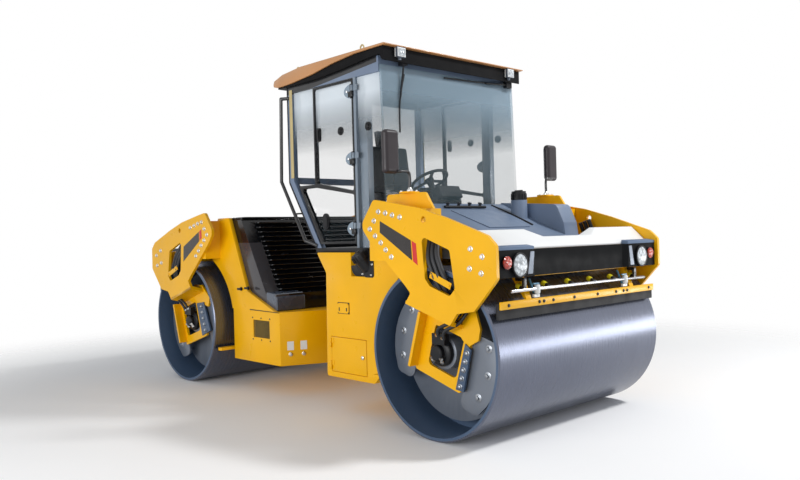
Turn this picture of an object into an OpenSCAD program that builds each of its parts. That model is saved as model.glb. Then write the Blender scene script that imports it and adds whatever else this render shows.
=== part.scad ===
// Tandem vibratory road roller with an articulated frame and a glazed cab.
// X points forward, Y to the driver's left and Z up; the origin is on the ground below the centre pivot.

/* [Drums] */
// Diameter of both drums
drum_d = 1300; // [1240:10:1360]
// Rolling width of both drums
drum_w = 2135; // [2050:5:2200]
// Wall of the drum shell
shell_t = 32; // [24:1:40]
// Distance between the two drum axles
axle_base = 3800; // [3780:10:3860]
// Depth of each drum head behind the rim
head_inset = 400; // [380:5:440]
// Thickness of a drum head
head_t = 30; // [20:1:40]
// Diameter of the hub that carries a drum
hub_d = 220; // [180:5:260]

/* [Frames] */
// Step from a side plate in to the side face of a body
body_inset = 175; // [160:5:190]
// Width of a fork arm, in from its side plate
fork_w = 315; // [300:5:330]
// Depth of the bodies below the axles
body_drop = 350; // [330:5:390]
// Room between a drum and the arch of its body
arch_gap = 100; // [80:5:110]
// Room between a drum and the fork arms above it
fork_gap = 40; // [25:1:60]
// Height of a fork arm
fork_h = 400; // [380:5:420]
// Place of the rear face of the front body
front_body_rear = 420; // [400:5:440]
// Place of the front corners of the rear body
rear_body_front = -313; // [-330:1:-300]
// Height of the deck of the rear body above the axles
deck_rise = 170; // [150:5:190]
// Thickness of the side panels of the rear body
panel_t = 40; // [25:1:50]

/* [Side plates] */
// Thickness of the four side plates
plate_t = 30; // [20:1:36]
// Room between a drum's end and a side plate
side_gap = 7.5; // [6:0.5:20]
// Lean of the drum legs
leg_lean = 17; // [12:1:20]
// Thickness of the leg webs and flanges
web_t = 25; // [15:1:30]
// Diameter of the lifting holes
lift_d = 50; // [30:1:60]

/* [Cab] */
// Step from the side face of the front body in to the cab's doors
cab_inset = 31; // [28:1:40]
// Overhang of the roof past the cab's doors
roof_eave = 36; // [30:1:44]
// Thickness of the cab's floor
floor_t = 40; // [30:5:60]
// Height of the cab from its sill to the underside of the roof
cab_h = 1520; // [1460:10:1560]
// Thickness of the cab's posts and doors
post_t = 50; // [40:1:60]
// Thickness of the panes
pane_t = 8; // [5:1:10]

/* [Centre joint] */
// Diameter of the vertical pivot pin
pivot_d = 90; // [70:2:100]
// Diameter of the lengthwise trunnion
trunnion_d = 240; // [200:5:260]
// Sideways place of the steering cylinders
ram_y = 165; // [155:1:180]
// Diameter of a steering cylinder's barrel
ram_d = 80; // [70:1:90]
// Diameter of a steering cylinder's rod
ram_rod_d = 44; // [36:1:50]

/* [Engine cover] */
// Number of louvre slats on the engine cover
slat_count = 15; // [10:1:18]
// Depth of a louvre slat
slat_depth = 60; // [40:1:70]
// Sheet of the engine cover
cover_t = 20; // [10:1:24]

/* [Hidden] */
$fn = 64;

PAINT = "#f2b21b";
BLACK = "#1b1c1e";
GREY = "#4a515a";
SLATE = "#6d7a8c";
STEEL = "#9aa0a8";
GLASS = "#8fb0ba";

axle_x = axle_base / 2;
axle_z = drum_d / 2;
arch_r = axle_z + arch_gap;
fork_z = drum_d + fork_gap;
fork_top = fork_z + fork_h;
body_low = axle_z - body_drop;
deck_z = axle_z + deck_rise;
fork_rear = axle_x - 655;
fork_front = axle_x - 155;
plate_in = drum_w / 2 + side_gap;
plate_out = plate_in + plate_t;
fork_in = plate_in - fork_w;
body_top = fork_z + 60;
sill_z = body_top + floor_t;
roof_z = sill_z + cab_h;
half_body = plate_in - body_inset;
body_w = 2 * half_body;
half_cab = half_body - cab_inset;
cab_w = 2 * half_cab;
run = 0.05;
trunnion_run = 0.3;

// Unit vector along v
function unit(v) = v / norm(v);

// Corner q = [x, y, radius] between p and s, as the points of its arc
function corner_arc(p, q, s, steps) =
    let (
        at = [q[0], q[1]],
        u = unit([p[0], p[1]] - at),
        v = unit([s[0], s[1]] - at),
        half = acos(u * v) / 2,
        centre = at + unit(u + v) * q[2] / sin(half),
        from = at + u * q[2] / tan(half) - centre,
        to = at + v * q[2] / tan(half) - centre,
        start = atan2(from[1], from[0]),
        turn = (atan2(to[1], to[0]) - start + 540) % 360 - 180
    )
    [for (i = [0:steps]) centre + q[2] * [cos(start + turn * i / steps), sin(start + turn * i / steps)]];

// Closed outline of [x, y, radius] corners; a radius of 0 keeps the corner sharp
function rounded(c, steps = 5) = [
    for (i = [0:len(c) - 1])
        each (c[i][2] == 0
            ? [[c[i][0], c[i][1]]]
            : corner_arc(c[(i + len(c) - 1) % len(c)], c[i], c[(i + 1) % len(c)], steps))
];

// Outline in the X-Z plane, drawn from y to y + t
module side_slab(points, y, t) {
    translate([0, y + t, 0])
        rotate([90, 0, 0])
            linear_extrude(t)
                polygon(points);
}

// Outline in the Y-Z plane, drawn from x to x + t
module cross_slab(points, x, t) {
    translate([x, 0, 0])
        rotate([90, 0, 90])
            linear_extrude(t)
                polygon(points);
}

// Round bar along Y, centred on y = 0
module cross_bar(x, z, d, length) {
    translate([x, length / 2, z])
        rotate([90, 0, 0])
            cylinder(d = d, h = length);
}

// Box between two corners
module block(low, high) {
    translate(low)
        cube(high - low);
}

// The shape as drawn on the left, or mirrored to the right
module on_side(s) {
    if (s > 0) children();
    else mirror([0, 1, 0]) children();
}

// The shape on both sides
module both_sides() {
    children();
    mirror([0, 1, 0]) children();
}

// The shape at the front, or mirrored to the rear
module on_end(e) {
    if (e > 0) children();
    else mirror([1, 0, 0]) children();
}

// Frame of a drum leg: its X leans down and forward about the front axle
module leg_frame() {
    translate([axle_x, 0, axle_z])
        rotate([0, leg_lean, 0])
            children();
}

/* Drums */

// Half section of a drum as [radius, place along the axle]
head_out = drum_w / 2 - head_inset;
rim_c = 8;
drum_section = [
    [hub_d / 2 + run, head_out - head_t], [hub_d / 2 + run, head_out],
    [axle_z - shell_t, head_out], [axle_z - shell_t, drum_w / 2], [axle_z - rim_c, drum_w / 2],
    [axle_z, drum_w / 2 - rim_c], [axle_z, -drum_w / 2 + rim_c], [axle_z - rim_c, -drum_w / 2],
    [axle_z - shell_t, -drum_w / 2], [axle_z - shell_t, -head_out],
    [hub_d / 2 + run, -head_out], [hub_d / 2 + run, head_t - head_out],
    [axle_z - shell_t, head_t - head_out], [axle_z - shell_t, head_out - head_t]
];

module drum() {
    color(STEEL)
        translate([axle_x, 0, axle_z])
            rotate([90, 0, 0])
                rotate_extrude($fn = 128)
                    polygon(drum_section);
}

module front_drum() {
    on_end(1) drum();
}

module rear_drum() {
    on_end(-1) drum();
}

/* Side plates with their drum legs */

web_out = plate_in - 115;
web_in = web_out - web_t;
leg_w = 490;
leg_rear = -235;
leg_low = -222;
leg_top = 270;
plate_low = 287;

// Outline of a side plate, from the axle, with the bolted end towards the cab
plate_outline = rounded([
    [-566, 1175, 40], [-702, 1000, 60], [-702, 940, 60], [-618, 843, 40], [-230, 511, 30],
    [-168, 450, 20], [-230, 370, 20], [230, 230, 15], [300, 320, 40], [464, 344, 40],
    [676, 573, 40], [673, 803, 40], [600, 873, 60], [217, 1006, 200], [-63, 1088, 200], [-377, 1144, 60]
]);
plate_window = rounded([
    [-37, 878, 30], [245, 774, 30], [289, 497, 30], [237, 442, 30], [40, 509, 30], [-10, 563, 30]
]);
lift_place = [-9, 1000];
leg_window = rounded([[-110, -135, 40], [190, -135, 40], [190, 185, 20], [-110, 185, 20]]);
leg_outline = rounded([[leg_rear, leg_low, 30], [leg_rear + leg_w, leg_low, 20],
    [leg_rear + leg_w, leg_top, 0], [leg_rear, leg_top, 0]]);

// Plate, folded shelf and leg on the left of the front drum; the leg's deep flange
// lies on the cab's side or on the far side
module side_plate(cab_side) {
    deep_x = cab_side ? leg_rear : leg_rear + leg_w - web_t;
    thin_x = cab_side ? carrier_edge - web_t : -carrier_edge;
    difference() {
        translate([axle_x, 0, axle_z])
            side_slab(plate_outline, plate_in, plate_t);
        translate([axle_x, 0, axle_z])
            side_slab(plate_window, plate_in - 1, plate_t + 2);
        translate([axle_x + lift_place[0], plate_out + 1, axle_z + lift_place[1]])
            rotate([90, 0, 0])
                cylinder(d = lift_d, h = plate_t + 2);
    }
    leg_frame() {
        difference() {
            side_slab(leg_outline, web_in, web_t);
            side_slab(leg_window, web_in - 1, web_t + 2);
        }
        cross_slab([[plate_in, plate_low + 25], [plate_out, plate_low + 25], [plate_out, plate_low],
            [web_out, leg_top - web_t], [web_in, leg_top - web_t], [web_in, leg_top]], -325, 475);
        block([deep_x, web_in, leg_low + 30], [deep_x + web_t, plate_in - 30, leg_top - 20]);
        block([thin_x, web_in - 60, leg_low + 30], [thin_x + web_t, web_in + 1, leg_top]);
    }
}

module front_plate_r() {
    color(PAINT) on_side(-1) side_plate(true);
}

module front_plate_l() {
    color(PAINT) on_side(1) side_plate(true);
}

module rear_plate_r() {
    color(PAINT) on_end(-1) on_side(-1) side_plate(false);
}

module rear_plate_l() {
    color(PAINT) on_end(-1) on_side(1) side_plate(false);
}

/* Drum carriers inside the legs */

carrier_r = axle_z - 110;
buffer_r = carrier_r - 90;
carrier_t = 20;
carrier_out = web_in - 2;
buffer_d = 120;
disc_t = 20;
disc_out = head_out + 130;
motor_d = 260;
carrier_edge = 255;
carrier_low = -330;
carrier_high = 250;

// Outline of the front buffer plate: straight along the leg, round along the drum
carrier_outline = rounded(concat(
    [[carrier_edge, carrier_high, 30], [carrier_edge, carrier_low, 60],
        [sqrt(carrier_r * carrier_r - carrier_low * carrier_low), carrier_low, 60]],
    [for (a = [-24:8:16]) [carrier_r * cos(a), carrier_r * sin(a), 0]],
    [[sqrt(carrier_r * carrier_r - carrier_high * carrier_high), carrier_high, 60]]
));

// Buffer plates, rubber buffers, disc, motor and hub on the left of the front drum
module carrier() {
    leg_frame() {
        for (s = [-1, 1])
            side_slab([for (p = carrier_outline) [s * p[0], p[1]]], carrier_out - carrier_t, carrier_t);
        for (s = [-1, 1], a = [-25, 0, 25])
            translate([s * buffer_r * cos(a), carrier_out - carrier_t + 1, buffer_r * sin(a)])
                rotate([90, 0, 0])
                    cylinder(d = buffer_d, h = carrier_out - carrier_t - disc_out + 2);
        translate([0, disc_out, 0])
            rotate([90, 0, 0])
                cylinder(r = carrier_r, h = disc_t);
        translate([0, disc_out - disc_t + 1, 0])
            rotate([90, 0, 0])
                cylinder(d = hub_d, h = disc_out - disc_t - head_out + head_t + 40);
        translate([0, carrier_out, 0])
            rotate([90, 0, 0])
                cylinder(d = motor_d, h = carrier_out - disc_out + 1);
    }
}

module front_carriers() {
    color(GREY) both_sides() carrier();
}

module rear_carriers() {
    color(GREY) on_end(-1) both_sides() carrier();
}

/* Cross beams, fascias, lamps, scrapers and spray bars */

beam_rear = axle_x + axle_z - 260;
beam_front = axle_x + axle_z - 70;
beam_low = fork_z - 125;
beam_top = fork_z + 75;
fascia_x = axle_x + axle_z - 5;
fascia_mid = axle_x + axle_z - 38;
fascia_low = beam_low + 7;
box_out = plate_in - 4;
box_in = plate_in - 435;
panel_in = 40;
lamp_y = plate_in - 249;
lamp_z = beam_low + 93;
lamp_d = 170;
marker_y = plate_in - 106;
marker_z = beam_low + 115;
marker_d = 95;
lamp_t = 14;

module beam() {
    block([beam_rear, -plate_in, beam_low], [beam_front, plate_in, beam_top]);
}

module fascia() {
    translate([0, 0, fascia_low])
        linear_extrude(beam_top - fascia_low)
            polygon([[beam_front, -box_out], [fascia_x, -box_out], [fascia_x, -box_in],
                [fascia_mid, panel_in - box_in], [fascia_mid, box_in - panel_in], [fascia_x, box_in],
                [fascia_x, box_out], [beam_front, box_out]]);
    both_sides()
        side_slab([[beam_front, beam_top - 1], [fascia_x, beam_top - 1], [fascia_x, beam_top + 22],
            [beam_front, beam_top + 34]], box_in, box_out - box_in);
}

module lamps() {
    both_sides() {
        translate([fascia_x, lamp_y, lamp_z])
            rotate([0, 90, 0])
                cylinder(d = lamp_d, h = lamp_t);
        translate([fascia_x, marker_y, marker_z])
            rotate([0, 90, 0])
                cylinder(d = marker_d, h = lamp_t);
    }
}

scraper_y = plate_in - 375;
scraper_z = beam_low - 208;
scraper_h = 54;
scraper_t = 18;
blade_t = 28;
blade_drop = 71;
blade_gap = 18;
blade_rise = scraper_z - blade_drop - axle_z;
scraper_x = axle_x + sqrt(axle_z * axle_z - blade_rise * blade_rise) + blade_gap + blade_t;
bar_half = drum_w / 2 - 37.5;
chamfer_x = axle_x - arch_r - 90;
inner_x = axle_x - axle_z + 12;
inner_z = axle_z - 265;
inner_t = 30;
inner_blade = 20;

// Scrapers of the front drum; the inner bar's bracket stands on the body between the two foot points
module scraper(foot) {
    block([scraper_x, -bar_half, scraper_z], [scraper_x + scraper_t, bar_half, scraper_z + scraper_h]);
    both_sides()
        side_slab([[beam_front - 80, beam_low], [beam_front - 10, beam_low],
            [scraper_x + 2, scraper_z + scraper_h],
            [scraper_x + 2, scraper_z + scraper_h - 12], [scraper_x - 20, scraper_z + scraper_h + 2]],
            scraper_y - 30, 60);
    intersection() {
        block([inner_x - arch_gap, -bar_half, inner_z], [inner_x, bar_half, inner_z + inner_t]);
        cross_bar(axle_x, axle_z, 2 * arch_r, 2 * bar_half + 2);
    }
    both_sides()
        side_slab(concat(foot, [[inner_x - 60, inner_z + inner_t / 2],
            [inner_x - 60, inner_z]]), scraper_y - 130, 60);
}

module blades() {
    block([scraper_x - blade_t, -bar_half - 6, scraper_z - blade_drop],
        [scraper_x, bar_half + 6, scraper_z + scraper_h - 12]);
    block([inner_x, -bar_half, inner_z - 10], [inner_x + inner_blade, bar_half, inner_z + inner_t + 10]);
}

spray_x = scraper_x + 2;
spray_z = beam_low - 89;
spray_d = 24;
spray_half = plate_in - 175;
nozzle_count = 6;
nozzle_d = 34;

module spray_bar() {
    cross_bar(spray_x, spray_z, spray_d, 2 * spray_half);
    for (i = [0:nozzle_count - 1])
        translate([spray_x - 50, (i - (nozzle_count - 1) / 2) * 2 * spray_half / nozzle_count, spray_z + 26])
            rotate([0, 115, 0])
                cylinder(d = nozzle_d, h = 58);
    both_sides()
        block([beam_front - 20, scraper_y + 34, beam_low - 24], [spray_x + 8, scraper_y + 64, beam_low]);
    both_sides()
        block([spray_x - 12, scraper_y + 34, spray_z], [spray_x + 8, scraper_y + 64, beam_low - 20]);
}

module front_beam() {
    color(PAINT) beam();
}

module front_fascia() {
    color(BLACK) fascia();
}

module front_lamps() {
    color("#e8eef2") lamps();
}

module front_scraper() {
    color(PAINT) scraper([[chamfer_x + 50, body_low + 50], [chamfer_x + 100, body_low + 100]]);
}

module front_blades() {
    color(BLACK) blades();
}

module front_spray_bar() {
    color(STEEL) spray_bar();
}

module rear_beam() {
    color(PAINT) on_end(-1) beam();
}

module rear_fascia() {
    color(BLACK) on_end(-1) fascia();
}

module rear_lamps() {
    color("#c8452e") on_end(-1) lamps();
}

module rear_scraper() {
    color(PAINT) on_end(-1) scraper([[-rear_body_rear, inner_z - 25], [-rear_body_rear, inner_z + 25]]);
}

module rear_blades() {
    color(BLACK) on_end(-1) blades();
}

module rear_spray_bar() {
    color(STEEL) on_end(-1) spray_bar();
}

/* Front frame */

pivot_z = axle_z;
tunnel_w = 640;
tunnel_front = 700;
tunnel_low = pivot_z - 290;
tunnel_top = pivot_z + 310;
ear_t = 50;
ear_low = pivot_z - 260;
ear_top = pivot_z + 280;
ear_r = 110;
ram_z = pivot_z - 120;
ram_lug_x = 640;
ram_pin_d = 50;
ram_eye_h = 50;
lug_gap = 5;
lug_t = 30;
hatch_low = [front_body_rear + 70, body_low + 45];
hatch_high = [chamfer_x - 90, body_low + 360];
hatch_t = 18;
filler_low = [chamfer_x - 270, body_top - 205];
filler_high = [chamfer_x - 50, body_top + 1];
filler_depth = 120;
wall_y = plate_in - 205;
wall_t = 25;
wall_h = 130;
base_t = 12;

// Upper and lower plates of a lug for a cylinder eye, with the pin where it is asked for
module ram_lug(x, reach, pin) {
    for (s = [-1, 1])
        translate([0, 0, ram_z + s * (ram_eye_h / 2 + lug_gap + lug_t / 2) - lug_t / 2])
            linear_extrude(lug_t)
                union() {
                    translate([x, ram_y]) circle(d = 90);
                    translate([min(x, reach), ram_y - 45]) square([abs(reach - x), 90]);
                }
    if (pin)
        translate([x, ram_y, ram_z - ram_eye_h / 2 - lug_gap - lug_t])
            cylinder(d = ram_pin_d, h = ram_eye_h + 2 * lug_gap + 2 * lug_t);
}

module front_body() {
    color(PAINT) {
        difference() {
            side_slab(rounded([[front_body_rear, body_low, 20], [chamfer_x, body_low, 20],
                [chamfer_x + 130, body_low + 130, 0], [fork_rear + 155, fork_z - 110, 0],
                    [fork_rear + 155, fork_z + 2, 0], [fork_rear, fork_z + 2, 0],
                [fork_rear, body_top, 0], [front_body_rear - 110, body_top, 10],
                [front_body_rear + 20, body_top - 180, 40]]), -half_body, body_w);
            cross_bar(axle_x, axle_z, 2 * arch_r, body_w + 2);
            block([300, -tunnel_w / 2, tunnel_low], [tunnel_front, tunnel_w / 2, tunnel_top]);
            block([hatch_low[0], -half_body - 1, hatch_low[1]],
                [hatch_high[0], hatch_t - half_body, hatch_high[1]]);
            block([filler_low[0], -half_body - 1, filler_low[1]],
                [filler_high[0], filler_depth - half_body, filler_high[1]]);
        }
        both_sides() {
            block([fork_rear, fork_in, fork_z], [fork_front, plate_in, fork_top]);
            side_slab(rounded([[fork_rear, fork_top - 1, 0], [fork_front + 45, fork_top - 1, 0],
                [fork_front - 40, fork_top + wall_h, 30],
                    [fork_rear + 30, fork_top + wall_h, 30]]), wall_y, wall_t);
            block([mirror_x - 10, wall_y - 30, fork_top + wall_h - 1],
                [mirror_x + 100, wall_y + 85, fork_top + wall_h + base_t]);
            ram_lug(ram_lug_x, tunnel_front + 1, true);
        }
        for (z = hatch_pins)
            hatch_hinge(z - hatch_pin_h - 0.15, -1);
        for (z = [ear_low, ear_top - ear_t])
            difference() {
                translate([0, 0, z])
                    linear_extrude(ear_t)
                        union() {
                            circle(r = ear_r);
                            translate([0, -ear_r]) square([tunnel_front + 1, 2 * ear_r]);
                        }
                translate([0, 0, z - 1])
                    cylinder(d = pivot_d + 2 * run, h = ear_t + 2);
            }
    }
}

hatch_room = 6;
hatch_pin_x = hatch_low[0] + hatch_room / 2;
hatch_pin_y = half_body + 11;
hatch_pins = [hatch_low[1] + 60, hatch_high[1] - 60];
hatch_pin_d = 16;
hatch_pin_h = 40;

// Half of a hatch hinge at height z: knuckle and leaf, on the body (s = -1) or on the hatch (s = 1)
module hatch_hinge(z, s) {
    translate([hatch_pin_x, -hatch_pin_y, z])
        cylinder(d = hatch_pin_d, h = hatch_pin_h);
    block([min(hatch_pin_x + s * 34, hatch_pin_x + s * 4), -half_body - 6, z],
        [max(hatch_pin_x + s * 34, hatch_pin_x + s * 4), 1 - half_body, z + hatch_pin_h]);
}

module hatch() {
    color(PAINT) {
        block([hatch_low[0] + hatch_room, -half_body - 2, hatch_low[1] + hatch_room],
            [hatch_high[0] - hatch_room, hatch_t - half_body - 0.5, hatch_high[1] - hatch_room]);
        for (z = hatch_pins)
            hatch_hinge(z + 0.15, 1);
    }
}

tank_y = fork_in - 12;
tank_rear = axle_x - 635;
tank_front = beam_rear - 20;
tank_low = fork_z + 5;
tank_rise = 465;
toe_l = 270;
toe_h = 155;
shoulder_y = fork_in - 210;
cap_x = tank_rear + 302;
cap_y = fork_in - 310;
neck_d = 146;
neck_top = tank_low + tank_rise + 15;

// Water tank over the drum: its back slopes down to a flat toe behind the beam
module tank(start, rise) {
    side_slab(rounded([[start, tank_low, 20], [tank_front, tank_low, 20], [tank_front, tank_low + toe_h - 5, 20],
        [tank_front - toe_l, tank_low + toe_h, 120], [start + 60, tank_low + rise - 20, 60],
        [start, tank_low + rise, 20]]), -tank_y, 2 * tank_y);
}

module water_tank() {
    color(SLATE) {
        tank(tank_rear, tank_rise);
        side_slab(rounded([[tank_rear, tank_low + 100, 0], [tank_front - toe_l - 10, tank_low + 100, 0],
            [tank_front - toe_l - 10, tank_low + toe_h, 0], [tank_front - toe_l - 25, tank_low + toe_h + 110, 30],
            [tank_front - toe_l - 100, tank_low + tank_rise - 35, 60], [tank_rear, tank_low + tank_rise + 5, 20]]),
            shoulder_y, tank_y - shoulder_y);
        translate([cap_x, cap_y, tank_low + toe_h])
            cylinder(d = neck_d, h = neck_top - tank_low - toe_h);
        both_sides()
            block([tank_rear + 20, fork_in - 30, tank_low + 80], [tank_front - 400, fork_in, tank_low + 140]);
    }
}

module rear_tank() {
    color(SLATE) on_end(-1) tank(-cross_x, tank_rise - 50);
}

module filler_caps() {
    color(BLACK) {
        translate([cap_x, cap_y, neck_top])
            cylinder(d = 130, h = 80);
        side_slab(rounded([[filler_low[0] + 4, filler_low[1] + 4, 80], [filler_high[0] - 4, filler_low[1] + 4, 25],
            [filler_high[0] - 4, filler_low[1] + 120, 25], [filler_low[0] + 4, filler_low[1] + 90, 0]]),
            -half_body, filler_depth);
        translate([(filler_low[0] + filler_high[0]) / 2, 55 - half_body, filler_low[1] + 89])
            cylinder(d = 105, h = 105);
    }
}

cover_rise = 145;
ramp_in = 320;
ramp_out = 480;

module beam_cover() {
    color("#e9e8e4")
        intersection() {
            side_slab([[tank_front + 6, beam_top], [beam_front, beam_top], [beam_front, beam_top + 14],
                [beam_front - 30, beam_top + 38], [beam_front - 150, beam_top + cover_rise],
                [tank_front + 6, beam_top + cover_rise]], -plate_in, 2 * plate_in);
            cross_slab([[-box_out, beam_top - 1], [box_out, beam_top - 1], [box_out, beam_top + cover_rise + 1],
                [ramp_out, beam_top + cover_rise + 1], [ramp_in, beam_top + 85], [-ramp_in, beam_top + 85],
                [-ramp_out, beam_top + cover_rise + 1], [-box_out, beam_top + cover_rise + 1]],
                tank_front, fascia_x - tank_front);
        }
}

/* Centre joint and steering cylinders */

link_room = 1;
nose_x = -127;
nose_y = half_body - 410;
link_d = 210;
trunnion_l = 300;
ram_eye_x = -40;

module centre_link() {
    color(GREY) {
        translate([0, 0, ear_low + ear_t + link_room])
            cylinder(d = link_d, h = ear_top - ear_low - 2 * ear_t - 2 * link_room);
        translate([0, 0, ear_low - 15])
            cylinder(d = pivot_d, h = ear_top - ear_low + 30);
        translate([-trunnion_l, 0, pivot_z])
            rotate([0, 90, 0])
                cylinder(d = trunnion_d, h = trunnion_l);
        translate([nose_x + 7, 0, pivot_z])
            rotate([0, 90, 0])
                cylinder(d = trunnion_d + 70, h = 30);
        both_sides()
            for (s = [-1, 1])
                translate([0, 0, ram_z + s * (ram_eye_h / 2 + lug_gap + lug_t / 2) - lug_t / 2])
                    linear_extrude(lug_t)
                        polygon(rounded([[60, 0, 0], [ram_eye_x + 45, ram_y + 50, 30],
                            [ram_eye_x - 45, ram_y + 50, 30],
                            [-85, 0, 0]]));
    }
}

barrel_l = 400;
barrel_neck = 62;

// Barrel of a steering cylinder on the left, with its eye on the front frame's pin
module ram_barrel() {
    difference() {
        union() {
            translate([ram_lug_x - barrel_l, ram_y, ram_z])
                rotate([0, 90, 0])
                    cylinder(d = ram_d, h = barrel_l - barrel_neck);
            block([ram_lug_x - barrel_neck - 1, ram_y - 25, ram_z - 22], [ram_lug_x, ram_y + 25, ram_z + 22]);
            translate([ram_lug_x, ram_y, ram_z - ram_eye_h / 2])
                cylinder(d = 84, h = ram_eye_h);
        }
        translate([ram_lug_x, ram_y, ram_z - ram_eye_h])
            cylinder(d = ram_pin_d + 2 * run, h = 2 * ram_eye_h);
        translate([ram_lug_x - barrel_l - 1, ram_y, ram_z])
            rotate([0, 90, 0])
                cylinder(d = ram_rod_d + 2 * run, h = barrel_l - barrel_neck - 18);
    }
}

rod_in = 450;

// Rod of a steering cylinder on the left, with its eye in the link's arm
module ram_rod() {
    difference() {
        union() {
            translate([ram_eye_x, ram_y, ram_z])
                rotate([0, 90, 0])
                    cylinder(d = ram_rod_d, h = rod_in - ram_eye_x);
            translate([ram_eye_x, ram_y, ram_z - ram_eye_h / 2])
                cylinder(d = 84, h = ram_eye_h);
        }
        translate([ram_eye_x, ram_y, ram_z - ram_eye_h])
            cylinder(d = ram_pin_d, h = 2 * ram_eye_h);
    }
}

module ram_barrel_r() {
    color(BLACK) on_side(-1) ram_barrel();
}

module ram_rod_r() {
    color(STEEL) on_side(-1) ram_rod();
}

module ram_barrel_l() {
    color(BLACK) on_side(1) ram_barrel();
}

module ram_rod_l() {
    color(STEEL) on_side(1) ram_rod();
}

/* Rear frame, engine and cover */

rear_body_rear = arch_r - axle_x;
panel_top = fork_top + 25;
cross_x = -1420;
cross_t = 40;
grille_low = [rear_body_front - 467, deck_z - 270];
grille_high = [rear_body_front - 177, deck_z - 95];
grille_depth = 25;

lid_pin_x = cross_x + cross_t + 13;
lid_pin_y = 500;
lid_pin_z = fork_top + 12;
lid_pin_d = 22;
lid_pin_h = 60;

// Knuckle of a lid hinge on the left, from y
module lid_pin(y) {
    translate([lid_pin_x, y + lid_pin_h, lid_pin_z])
        rotate([90, 0, 0])
            cylinder(d = lid_pin_d, h = lid_pin_h);
}

module rear_body() {
    color(PAINT) {
        difference() {
            translate([0, 0, body_low])
                linear_extrude(deck_z - body_low)
                    polygon([[rear_body_rear, -half_body], [rear_body_front, -half_body], [nose_x, -nose_y],
                        [nose_x, nose_y], [rear_body_front, half_body], [rear_body_rear, half_body]]);
            block([grille_low[0], -half_body - 1, grille_low[1]],
                [grille_high[0], grille_depth - half_body, grille_high[1]]);
            translate([nose_x - 500, 0, pivot_z])
                rotate([0, 90, 0])
                    cylinder(d = trunnion_d + 2 * trunnion_run, h = 501);
        }
        both_sides() {
            difference() {
                side_slab(rounded([[rear_body_rear - 90, deck_z - 1, 0], [-390, deck_z - 1, 0],
                    [-880, deck_z + 190, 60],
                    [-1200, panel_top, 20], [cross_x, panel_top, 20], [-1560, fork_z, 0],
                        [-1560, fork_z - 140, 0]]),
                    half_body - panel_t, panel_t);
                cross_bar(-axle_x, axle_z, 2 * arch_r, body_w + 2);
            }
            block([-fork_front, fork_in, fork_z], [-1300, half_body - panel_t + 1, fork_top]);
            block([-fork_front, half_body - panel_t, fork_z], [-1390, plate_in, fork_top]);
        }
        block([cross_x, -half_body + panel_t - 1, fork_z],
            [cross_x + cross_t, half_body - panel_t + 1, fork_top - 12]);
        both_sides() {
            block([cross_x + 10, lid_pin_y, fork_top - 40], [lid_pin_x, lid_pin_y + lid_pin_h, lid_pin_z + 6]);
            lid_pin(lid_pin_y);
        }
    }
}

sump_h = 380;
sump_half = 380;
head_h = 340;
head_half = 280;
head_back = 100;
engine_room = 60;
head_room = 31;
engine_rear = rear_body_rear + 20;

module engine() {
    color(GREY) {
        block([engine_rear, -sump_half, deck_z],
            [slope_x(deck_z + sump_h) - cover_t - engine_room, sump_half, deck_z + sump_h]);
        block([engine_rear - head_back, -head_half, deck_z + sump_h - 1],
            [slope_x(deck_z + sump_h + head_h) - cover_t - head_room, head_half, deck_z + sump_h + head_h]);
    }
}

cover_rear = cross_x + cross_t + 1;
cover_top = fork_top;
slope_top = -1020;
slope_low = -600;
nose_box_top = deck_z + 165;
nose_box_front = -420;
cover_half = half_body - panel_t - 2;
slat_half = half_body - 200;
slat_t = 12;
slat_first = nose_box_top + 35;
slat_pitch = (cover_top - 40 - slat_first) / (slat_count - 1);

// Place of the sloping front at height z
function slope_x(z) = slope_low + (z - nose_box_top) / (cover_top - nose_box_top) * (slope_top - slope_low);

module engine_cover() {
    color(BLACK) {
        difference() {
            side_slab([[cover_rear + 95, deck_z], [nose_box_front, deck_z], [nose_box_front, nose_box_top],
                [slope_low, nose_box_top],
                [slope_top, cover_top], [cover_rear + 95, cover_top]], -cover_half, 2 * cover_half);
            side_slab([[cover_rear, deck_z - 1], [nose_box_front - cover_t, deck_z - 1],
                [nose_box_front - cover_t, nose_box_top - cover_t],
                [slope_low - cover_t, nose_box_top - cover_t], [slope_top - cover_t, cover_top - cover_t],
                [slope_top - cover_t, cover_top + 1],
                    [cover_rear, cover_top + 1]], cover_t - cover_half, 2 * (cover_half - cover_t));
            cross_bar(-axle_x, axle_z, 2 * arch_r, body_w);
        }
        for (i = [0:slat_count - 1])
            block([slope_x(slat_first + i * slat_pitch) - 14, -slat_half, slat_first + i * slat_pitch],
                [slope_x(slat_first + i * slat_pitch) + slat_depth, slat_half,
                    slat_first + i * slat_pitch + slat_t]);
    }
}

lid_t = 24;
lid_half = cover_half - 6;
lid_rear = lid_pin_x + 16;

module hood_lid() {
    color(BLACK) {
        block([lid_rear, -lid_half, cover_top + 0.5], [slope_top + 8, lid_half, cover_top + 0.5 + lid_t]);
        both_sides() {
            lid_pin(lid_pin_y + lid_pin_h + 0.3);
            block([lid_pin_x, lid_pin_y + lid_pin_h + 0.3, lid_pin_z - 6],
                [lid_rear + 1, lid_pin_y + 2 * lid_pin_h + 0.3, lid_pin_z + 6]);
        }
    }
}

/* Cab */

cab_rear = -130;
knee_z = sill_z + 610;
foot_x = 260;
cab_front_top = 1188;
cab_front_low = 1235;
door_x = 840;
split_x = 272;
post_w = 75;
header_h = 60;
divider_front_z = sill_z + 476;
door_low = sill_z + 35;
door_top = roof_z - header_h - 5;

// Place of the rear edge of the cab at height z below the knee
function rear_x(z) = foot_x + (z - sill_z) / (knee_z - sill_z) * (cab_rear - foot_x);

// Place of the front glass at height z
function front_x(z) = cab_front_low + (z - sill_z) / (roof_z - sill_z) * (cab_front_top - cab_front_low);

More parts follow.
